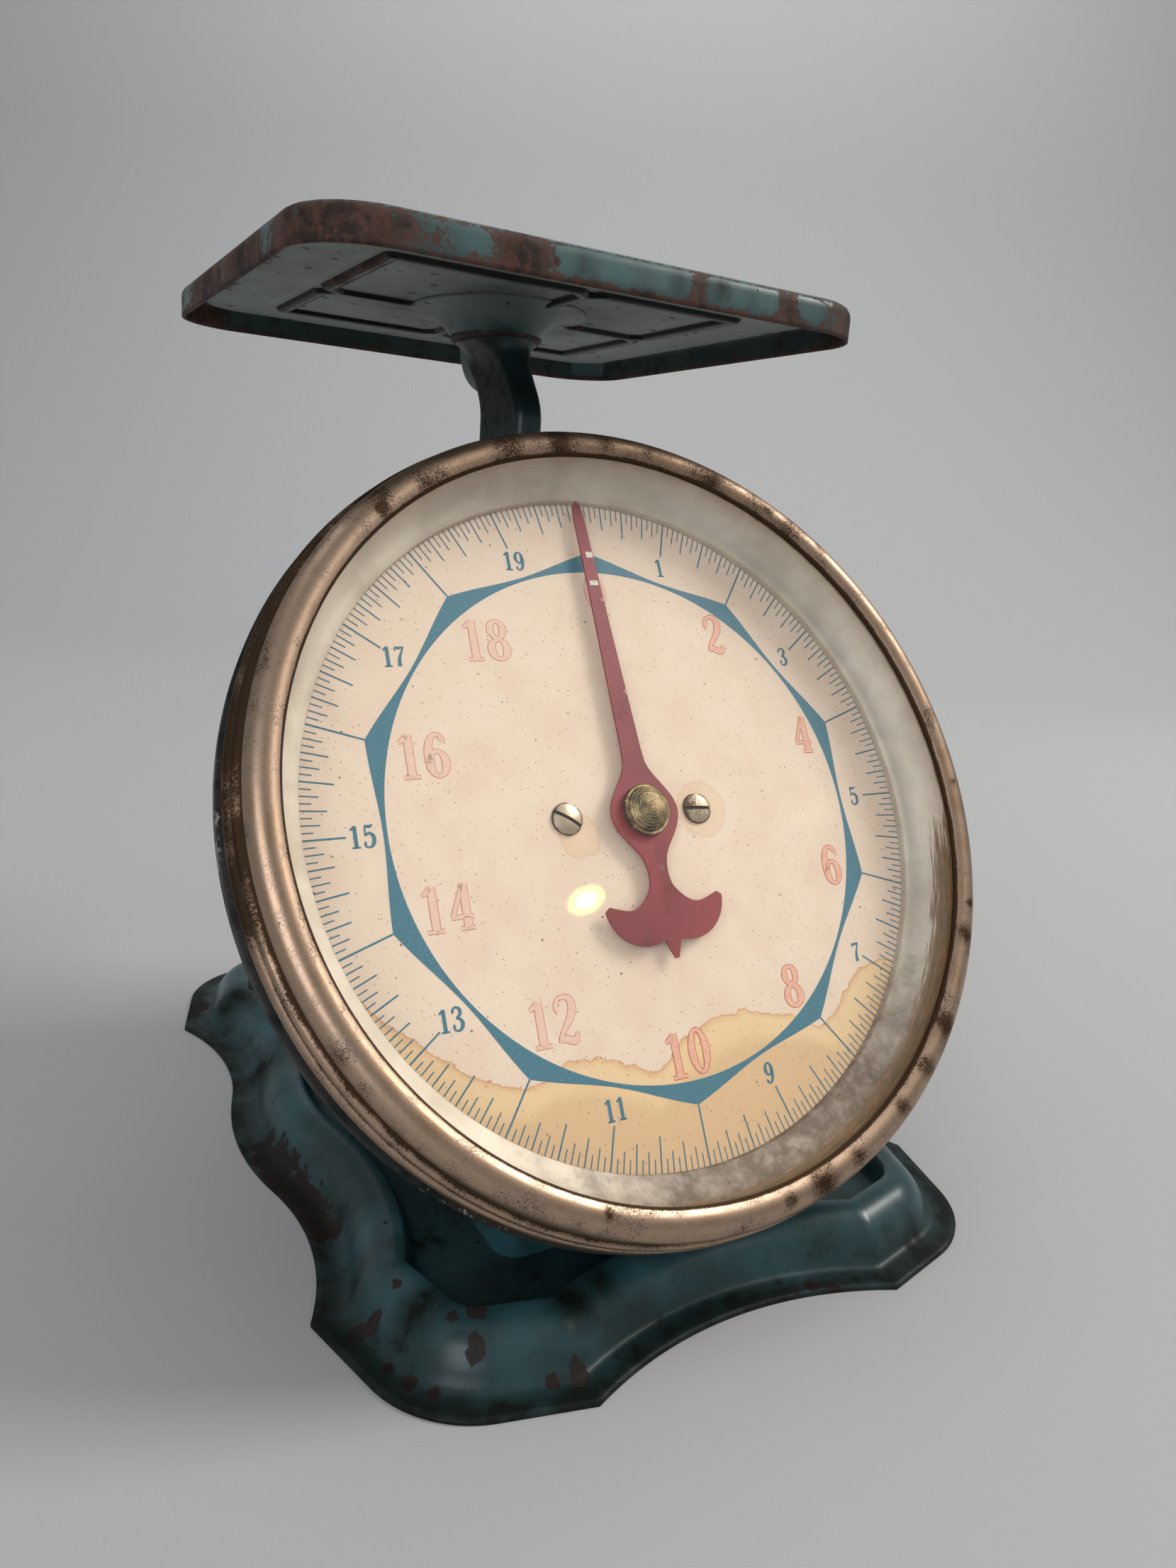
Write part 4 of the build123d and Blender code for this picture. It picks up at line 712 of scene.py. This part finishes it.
# ------------------------------------------------------------ dial retainer
# A spun ring of plated steel between paper and glass, satin grey. Damp has streaked its steep outer part
# brown and green along the right, and mottled it brown and grey below. Its flat rim under the bezel's lip
# is painted dark as shadow.
ring_section = [(83.6, 1.4), (83.6, 2.1), (83.8, 2.35), (85.4, 2.9), (87.4, 4.0), (89.3, 5.6), (90.9, 7.8),
                (92, 10.2), (92.5, 12), (92.9, 12.2), (95.4, 12.2), (95.6, 12), (95.6, 0.6), (95.1, 0.6),
                (95.1, 11.6), (93.2, 11.7), (92.3, 9.6), (90.4, 6.4), (88.0, 3.9), (85.4, 2.3), (84.5, 1.4),
                (84.5, 0.2), (83.6, 0.2)]
satin, add = new_material("satin_nickel_plate")
place = add.object_place()
round_mm, rim_mm, damp, grime = add.attributes("round_mm", "rim_mm", "damp", "grime")
clouds = add.noise(place, 14 * mm, 5, 0.6)
clean = add.ramp(clouds, (0.35, "B5A999"), (0.62, "CBC0B1"))
# Streaks run with the spinning, 9 mm long and 0.6 mm wide.
streak_place = add("CombineXYZ", {"X": add.math("MULTIPLY", round_mm, 1 / 9.0),
                                  "Y": add.math("MULTIPLY", rim_mm, 1 / 0.6)})
streaks = add.noise(streak_place, 1, 4, 0.55)
patches = add.noise(place, 6 * mm, 6, 0.7)
# grime holds the mottle below and the painted shadow under the bezel's lip.
mottle = add.math("MULTIPLY_ADD", patches, 0.7, grime)
mottled_and_shadowed = add.span(mottle, 0.64, 1.02, 0, 0.95)
soiled_and_shaded = add.mix(mottled_and_shadowed, clean, "5A4632")
damp_edge = add.math("MULTIPLY_ADD", streaks, 0.9, damp)
tarnished = add.span(damp_edge, 0.85, 1.02)
tarnish = add.ramp(streaks, (0.34, "2B281D"), (0.44, "57502F"), (0.54, "7E5932"), (0.64, "643C22"),
                   (0.72, "A99468"))
tone = add.mix(tarnished, soiled_and_shaded, tarnish)
eaten = add.math("MAXIMUM", tarnished, mottled_and_shadowed)
add.surface(tone, 0.58, Metallic=add.span(eaten, 0, 1, 0.5, 0.1))


def ring_marks(clock, radius, out):
    """Damp on the steep part from the right round to below, mottle below, and painted shadow under the
    bezel's lip.
    """
    sweep = rise(clock, 80, 105) * rise(clock, 215, 185)
    steep = rise(radius, 87.8, 90.2)
    below = np.clip(1.4 - np.abs(clock - 166) / 50, 0, 1)
    # Beyond 91.9 mm the grime value is painted shadow under the bezel's lip.
    return {"round_mm": np.radians(clock) * radius, "rim_mm": radius + out, "damp": 0.66 * sweep * steep,
            "grime": below * 0.62 + rise(radius, 91.9, 92.5) * 1.5}


retainer = spun("retainer_ring", ring_section, satin, 360, ring_marks)
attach(retainer, "stand")
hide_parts("dial_retainer")

# ------------------------------------------------------------ window glass
# A flat disc of window glass with ground edges. It lets the lamps through to the paper.
window, add = new_material("window_glass")
clear = add("BsdfPrincipled", {"Base Color": "FBFDFC", "Roughness": 0.02, "IOR": 1.5,
                               "Transmission Weight": 1.0})
add("OutputMaterial", {"Surface": add("MixShader", {0: add("LightPath").outputs["Is Shadow Ray"], 1: clear,
                                                    2: add("BsdfTransparent")})})
pane_section = [(0, 12.2), (0, 14.0), (95.3, 14.0), (95.6, 13.7), (95.6, 12.5), (95.3, 12.2)]
pane = spun("window_pane", pane_section, window, 192)
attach(pane, "stand")
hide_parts("glass")

# ------------------------------------------------------------ bezel
# Spun brass under worn nickel, warm rose gold: a bead at the back, a grooved band, then the wide roll
# that holds the glass. Dirt fills the grooves and black spots have come up along the lower right. Painted
# shade darkens the top, the beads at the upper left and the lip's inner edge.
rolled_side = rounded([(99.3, 3.8), (99.6, 4.9), (99.3, 6.3), (98.3, 7), (97.7, 7.45), (98.3, 7.9),
                       (98.7, 8.8), (98.3, 9.8), (97, 10.35), (96.3, 10.9), (96.7, 11.6), (97.1, 12.5),
                       (96.9, 13.8), (95.9, 15.3), (94.2, 16.2), (92.2, 16.25), (90.4, 15.5),
                       (89.7, 14.9)], 2)
bezel_section = np.r_[[(99.1, 3.4)], rolled_side, [(89.6, 14.7), (89.6, 14.1), (95.7, 14.05), (95.7, 3.4)]]
bezel_spots = [(66.9, -64.6, 5), (19.3, -91, 5.5), (82.5, -43, 4), (58, -73, 3.5), (47, -80, 3), (30, -88, 3),
               (93, -2, 2), (87, -35, 2), (9, -92.6, 2.5), (-36, -85, 2), (50, 78, 2.5), (-60, 70, 2.5)]


def bezel_dirt(clock, radius, out):
    """Soil in both grooves and in spots on the roll, and painted shade on the lip's inner edge, over the
    top and on the beads at the upper left."""
    x, up = radius * np.sin(np.radians(clock)), radius * np.cos(np.radians(clock))
    grooves = np.maximum(1 - np.abs(out - 7.45) / 0.7, 1 - np.abs(out - 10.8) / 0.9) * (radius > 96)
    # Painted shade: the lip's inner edge, the top and the beads at the upper left.
    lip = rise(radius, 90.3, 89.8)
    from_top = np.abs((clock - 8 + 180) % 360 - 180)
    top = np.clip(1.25 - from_top / 45, 0, 1) * 0.24
    beads = rise(clock, 250, 264) * rise(clock, 345, 331) * (out < 10.3) * 0.5
    spots = nearness(x, up, bezel_spots) * 0.6
    return {"soil": np.maximum.reduce([grooves.clip(0) * 1.1, lip * 1.2, spots, top, beads])}


bezel_brass = old_metal("worn_nickel_on_brass", "D6BCA6", "463527", 0.32, 0.45, 0.8, "B0937A")
bezel = spun("bezel_rim", bezel_section, bezel_brass, 360, bezel_dirt)
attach(bezel, "stand")
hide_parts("bezel")

# ------------------------------------------------------------ pointer and its nut
# A blanked steel hand in dull red lacquer, nicked along its edges, with two white marks on its blade. A
# knurled brass nut with a brown patina and turning rings holds it.
lacquer = enamel("dull_red_lacquer", "86252D", "741F27", ("C98F86", "B9776E", "7C4A44"), 0.6, 0.5)
finish_nodes(lacquer, "pointer")
nut_brass, add = new_material("patinated_brass")
centred = add("Mapping", {"Vector": add.object_place(), "Location": tuple(-dial_centre * mm)},
              vector_type="POINT")
turned = add("Mapping", {"Vector": centred, "Rotation": (slant - pi / 2, 0, 0)})
rings = add("TexWave", {"Vector": turned, "Scale": 1 / (2.2 * mm), "Distortion": 3.0, "Detail": 3.0,
                        "Detail Scale": 2.0}, wave_type="RINGS", rings_direction="Z")
clouds = add.noise(turned, 2.4 * mm, 6, 0.7)
patina = add.math("MULTIPLY_ADD", rings.outputs["Fac"], 0.18, clouds)
tone = add.ramp(patina, (0.42, "4A4030"), (0.56, "7D6E54"), (0.68, "9C8860"), (0.8, "BBA27A"))
add.surface(tone, 0.52, Metallic=1.0, Normal=add.bump(patina, 0.35, 0.08))
finish_nodes(nut_brass, "hub_nut")
finish_nodes(old_metal("dull_brass", "9C8A58", "4E4426", 0.4), "pinion", "front_bush", "rear_bush",
             "pointer_seat", "arbor_collar", "dial_posts")
pale_mark_finish, add = new_material("pale_blade_mark")
wear = add.noise(add.object_place(), 0.8 * mm)
add.surface(add.ramp(wear, (0.3, "BDB0A2"), (0.6, "DAD2C6")), 0.5)
lean, over_blade = radians(1.4), 2.74
for number, (left, right, low, high) in enumerate([(-0.4, 1.5, 67.4, 69.0), (-1.1, 1.3, 59.7, 61.0)]):
    mark_x, mark_up = np.array([left, right, right, left]), np.array([low, low, high, high])
    mark_points = on_dial(mark_x * cos(lean) - mark_up * sin(lean), mark_x * sin(lean) + mark_up * cos(lean),
                          over_blade)
    mark = put_mesh(f"pointer_mark_{number}", mark_points, [(0, 1, 2, 3)], pale_mark_finish, flat=True)
    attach(mark, "hand")

# ------------------------------------------------------------ platform
# A deep-drawn square tray of sheet steel. Its skirt turns down, its field is stiffened by an embossed
# square with a notch in each side and four ribs. The skirt's enamel has gone brown with rust at its
# corners and is nicked pale along the top, where the pale line is also a painted glint; underneath it is
# grey with dust, darker round the boss, and black along the emboss with dirt and painted shade. The far
# skirts' inner faces are painted dark as shade.
tray_y = base_y + 44.7
tray_half, tray_corner = 78.0, 20.0
patch_half = 55.0


def fine_near(lines, reach=4.2, fine=0.42, coarse=2.2):
    """Places from -patch_half to patch_half, close together near the given lines and wide elsewhere."""
    places = [-patch_half]
    while places[-1] < patch_half - 1e-6:
        near = min(abs(places[-1] - line) for line in lines) < reach
        places.append(min(places[-1] + (fine if near else coarse), patch_half))
    return np.array(places)


def line_distance(x, y, start, end):
    """Distance of points from a straight line between two ends."""
    way = np.subtract(end, start)
    share = np.clip(((x - start[0]) * way[0] + (y - start[1]) * way[1]) / (way @ way), 0, 1)
    return np.hypot(x - start[0] - share * way[0], y - start[1] - share * way[1])


# The embossed line from corner to corner of one side, with its notch, and the rib towards the boss. The
# notches are not quite in the middle: back, left, front and right, each along its own side.
emboss_half, notch_half, notch_deep, rib_end = 49.5, 4.0, 4.0, 25.0
notch_places = (0.0, 5.5, -4.2, 0.0)
patch_lines = fine_near([-emboss_half, -emboss_half + notch_deep, -4.2, 0, 4.2, 6.5, emboss_half - notch_deep,
                         emboss_half])
patch_x, patch_y = np.meshgrid(patch_lines, patch_lines)
far = 99.0
to_line = np.full_like(patch_x, far)
for notch in notch_places:
    apex = (notch, emboss_half - notch_deep)
    side_run = [(-emboss_half, emboss_half), (notch - notch_half, emboss_half), apex,
                (notch + notch_half, emboss_half), (emboss_half, emboss_half)]
    for start, end in [*zip(side_run, side_run[1:]), (apex, (notch, rib_end))]:
        to_line = np.minimum(to_line, line_distance(patch_x, patch_y, start, end))
    patch_x, patch_y = patch_y, -patch_x
field_level, emboss_deep = 229.0, 1.2
fall = rise(to_line, 2.0, 1.0)
patch_z = field_level - emboss_deep * fall ** 2 * (3 - 2 * fall)
patch_edge_level = field_level - 0.25
patch_z[[0, -1]] = patch_edge_level
patch_z[:, [0, -1]] = patch_edge_level

# Rings outside the patch: the patch's edge carried out to rounded squares, then down over the rim.
edge_line = np.r_[[(x, -patch_half) for x in patch_lines], [(patch_half, y) for y in patch_lines[1:]],
                  [(x, patch_half) for x in patch_lines[-2::-1]],
                  [(-patch_half, y) for y in patch_lines[-2:0:-1]]]
tray_profile = np.array([(0, 223), (0, 224), (0, 226), (0, 228.7), (0.25, 229.9), (0.9, 230.95),
                         (1.9, 231.55), (3, 231.7), (4.6, 231.7), (5.1, 231.5), (6.6, 229.5), (7.2, 229.1),
                         (8.2, 229), (13, 229), (20.6, 229), (21.2, 228.75)])
ring_half = tray_half - tray_profile[:, 0, None]
ring_corner = np.maximum(tray_corner - tray_profile[:, 0, None], 0)
ring_x, ring_y = edge_line[:, 0] * ring_half / patch_half, edge_line[:, 1] * ring_half / patch_half
over_x, over_y = [np.maximum(np.abs(a) - (ring_half - ring_corner), 0) for a in (ring_x, ring_y)]
pull = np.where((over_x > 0) & (over_y > 0), ring_corner / np.maximum(np.hypot(over_x, over_y), 1e-9), 1)
ring_x = np.sign(ring_x) * (np.minimum(np.abs(ring_x), ring_half - ring_corner) + over_x * pull)
ring_y = np.sign(ring_y) * (np.minimum(np.abs(ring_y), ring_half - ring_corner) + over_y * pull)
rings = np.stack([ring_x, ring_y + tray_y, np.broadcast_to(tray_profile[:, 1:], ring_x.shape)], -1)
patch_edge = np.c_[edge_line + (0, tray_y), np.full(len(edge_line), patch_edge_level)]
rings = np.concatenate([rings, patch_edge[None]])
ring_count = rings.shape[0] * rings.shape[1]
patch = np.dstack([patch_x, patch_y + tray_y, patch_z])
tray_points = np.r_[rings.reshape(-1, 3), patch.reshape(-1, 3)]
tray_faces = np.r_[grid_faces(*rings.shape[:2], loop_columns=True), grid_faces(*patch_x.shape) + ring_count]

# Wear, soil and painted shade of the tray, from each point's place, height and inset from the skirt.
at_x, at_y, at_z = tray_points.T
patch_edge_inset = 23.0
inset = np.r_[np.repeat(np.r_[tray_profile[:, 0], patch_edge_inset], len(edge_line)),
              np.full(patch_x.size, far)]
skirt = rise(at_z, 231.2, 229.7) * (inset < 2)
rust_places = [(-78, tray_y - 78, 44), (-78, tray_y - 20, 34), (-78, tray_y + 22, 34), (-78, tray_y + 74, 26),
               (74, tray_y - 74, 24), (-30, tray_y - 78, 12), (18, tray_y - 79, 4), (46, tray_y - 79, 5)]
drips = [(-14, tray_y - 79, 5), (12, tray_y - 79, 4), (24, tray_y - 79, 5), (33, tray_y - 79, 3),
         (47, tray_y - 79, 4), (60, tray_y - 79, 5), (70, tray_y - 79, 8)]
rusting = nearness(at_x, at_y, rust_places)
# Painted shade on the inner faces of the far skirts.
shaded = ((at_x > 76) | (at_y - tray_y > 76)) * 0.65
low_edge = rise(at_z, 226, 223) * 0.4 * (inset < 1)
# The top edge is worn, and it carries a painted glint as pale scuffs.
top_edge_wear_and_glint = np.clip(1 - np.abs(at_z - 230.9) / 0.9, 0, 1) * (inset < 3)
# Dark on the emboss's walls: dirt and painted shade.
emboss_dirt_and_shade = np.r_[np.zeros(ring_count), np.clip(1.4 - np.abs(to_line - 1.2), 0, 1).ravel()]
line_rust = nearness(at_x, at_y, [(-emboss_half, tray_y - 38, 16), (-emboss_half, tray_y - 14, 14)])
# The underside is darker round the boss.
darker_round_boss = np.clip(1.5 - np.hypot(at_x / 30, (at_y - tray_y) / 38), 0, 0.6) * (inset > 18)
tray_wear = [rusting * 0.7 * np.maximum(skirt, 0.45) * (inset < 10), low_edge, top_edge_wear_and_glint * 0.3,
             line_rust * emboss_dirt_and_shade * 0.9]
tray_soil_and_shade = [emboss_dirt_and_shade * 1.3, darker_round_boss, low_edge * 2, shaded, nearness(at_x, at_y, drips) * skirt * 0.8,
             rusting * 0.8 * (inset < 8)]
tray_enamel = enamel("stoved_enamel_tray", "4B6A6B", "36514F", ("453630", "58392F", "2B201C"), 1.0, 0.32)
platform = put_mesh("platform", tray_points, tray_faces, tray_enamel, values={
    "wear": np.maximum.reduce(tray_wear), "soil": np.maximum.reduce(tray_soil_and_shade), "scuff": top_edge_wear_and_glint * 0.92,
    "dust": np.where(inset > 8, 0.9, 0.1) * (1 - emboss_dirt_and_shade) * (1 - darker_round_boss)})
make_sheet(platform, 0.9)
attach(platform, "load_carriage")
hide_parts("tray")

# ------------------------------------------------------------ boss and arm
# The boss is pressed out of sheet as an oval bell that flows out of the tray's underside, its rolled lip
# rusted red. The arm is a folded channel, open at the back, that flares like a trumpet up into the lip;
# a web of sheet stiffens it behind.
boss_profile = rounded([(24.5, 31.5, 228.3), (21.5, 28.2, 228.1), (18.4, 24.9, 227.5), (15.6, 21.8, 226.0),
                        (13.6, 19.2, 223.7), (12.1, 17.1, 221.8), (11.8, 16.7, 221.1), (11.9, 16.8, 220.6),
                        (11.5, 16.4, 220.2), (10.9, 15.7, 220.3), (10.6, 15.3, 220.9)], 2)
bell_steps = 96
round_turn = np.arange(bell_steps) * 2 * pi / bell_steps
bell_x, bell_y, bell_z = np.split(boss_profile, 3, 1)
bell_z = np.broadcast_to(bell_z, (len(boss_profile), bell_steps))
boss_points = np.stack([bell_x * np.cos(round_turn), tray_y + bell_y * np.sin(round_turn), bell_z], -1)
boss = put_mesh("boss_bell", boss_points, grid_faces(*bell_z.shape, loop_columns=True), tray_enamel, values={
    "wear": rise(bell_z, 221.2, 220.3) * 0.8, "dust": np.clip((bell_z - 222) / 6, 0, 0.5),
    "soil": np.full(bell_z.shape, 0.4)})
make_sheet(boss, 0.6)
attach(boss, "load_carriage")
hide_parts("tray_boss")

# The arm's levels: height, front, back and half width, and how far its section has gone from a channel
# to the lip's oval.
arm_levels = rounded([(46, 19.2, 43.2, 3.1, 0), (196, 19.2, 43.2, 3.1, 0), (200, 19.9, 43.4, 3.1, 0),
                      (204, 22.2, 45.0, 3.1, 0), (208, 25.4, 48.0, 3.1, 0), (212, 28.4, 52.2, 3.3, 0.05),
                      (215, 29.8, 55.2, 4.1, 0.3), (217.6, 30.0, 57.5, 5.9, 0.6),
                      (219.4, 29.5, 59.2, 8.4, 0.85), (220.6, 29.1, 60.3, 10.8, 1)], 2)
# The channel's section as shares of its half width and half depth: a leg, a folded corner of 1.4 mm
# radius, the front, and the corner and leg again the other way round.
leg_points, front_points = 17, 7
corner_turn = np.linspace(0, pi / 2, 7)[1:-1]
back_again = slice(leg_points + len(corner_turn) - 1, None, -1)
fold_across, fold_deep = 1.4 / 3.1, 1.4 / 12
across_share = np.r_[-np.ones(leg_points), -1 + fold_across * (1 - np.cos(corner_turn)),
                     np.linspace(-1 + fold_across, 1 - fold_across, front_points)]
across_share = np.r_[across_share, -across_share[back_again]]
depth_share = np.r_[np.linspace(1, -1 + fold_deep, leg_points), -1 + fold_deep * (1 - np.sin(corner_turn)),
                    -np.ones(front_points)]
depth_share = np.r_[depth_share, depth_share[back_again]]
oval_turn = radians(97) + np.linspace(0, 1, len(across_share)) * radians(346)
level_z, level_front, level_back, level_half, flare = np.split(arm_levels, 5, 1)
arm_x = level_half * ((1 - flare) * across_share + flare * np.cos(oval_turn))
arm_depth = (1 - flare) * depth_share + flare * np.sin(oval_turn)
arm_y = base_y + (level_front + level_back) / 2 + (level_back - level_front) / 2 * arm_depth
arm_z = np.broadcast_to(level_z, arm_x.shape)
# The arm's enamel is darker than the body's, and soil on its legs and back, both as painted shade.
arm_channel = put_mesh("arm_channel", np.stack([arm_x, arm_y, arm_z], -1), grid_faces(*arm_x.shape),
                       enamel("stoved_enamel_arm", "22434A", "0F1D20"), values={
                           "wear": rise(arm_z, 219.6, 220.6) * 0.4,
                           "soil": np.clip(arm_depth * 4 + 4, 0, 0.7) + 0.15})
make_sheet(arm_channel, 1.2)
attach(arm_channel, "load_carriage")
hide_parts("arm")

# The web's lower edge, carried up level by level to its top while it draws in towards its front.
web_front, web_top, web_shrink = 44.0, 220.4, 0.8
web_edge = rounded([(web_front, 204.6), (50.0, 205.8), (56.5, 207.8), (62.0, 211.0), (65.6, 215.4),
                    (67.4, web_top)], 3)
edge_y, edge_z = web_edge.T
web_share = np.linspace(0, 1, 9)[:, None]
web_y = base_y + edge_y + web_share * (web_front + (edge_y - web_front) * web_shrink - edge_y)
web_z = edge_z + web_share * (web_top - edge_z)
web = put_mesh("arm_web", np.stack([np.zeros_like(web_y), web_y, web_z], -1), grid_faces(*web_y.shape),
               enamel("stoved_enamel_web", "6E7F7C", "54696A", chips=0.4),
               values={"dust": np.full(web_y.shape, 0.4)})
make_sheet(web, 3.8, 0)
web_bevel = web.modifiers.new("bevel", "BEVEL")
web_bevel.width = 0.8 * mm
web_bevel.segments = 3
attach(web, "load_carriage")
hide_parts("arm_gusset")

# ------------------------------------------------------------ movement
# Zinc-plated side plates, yoke, crossbar, rack and stays, ground pins, and two oiled coil springs,
# all inside the closed body.
finish_nodes(old_metal("zinc_plated_steel", "A9AAA6", "6E6E68", 0.4, 2.0, 0.2), "frame_left", "frame_right",
             "spring_bridge", "bearing_cock", "spring_yoke", "crossbar", "rack", "rack_bracket", "upper_stay",
             "lower_stay")
finish_nodes(old_metal("ground_steel", "BFBFBC", "77756E", 0.25, 2.0, 0.1), "pointer_arbor",
             "upper_stay_rod", "lower_stay_rod", "upper_check_pin", "lower_check_pin")
finish_nodes(old_metal("oiled_spring_steel", "6A6A6B", "3A3836", 0.3, 2.0, 0.2), "spring_left",
             "spring_right")
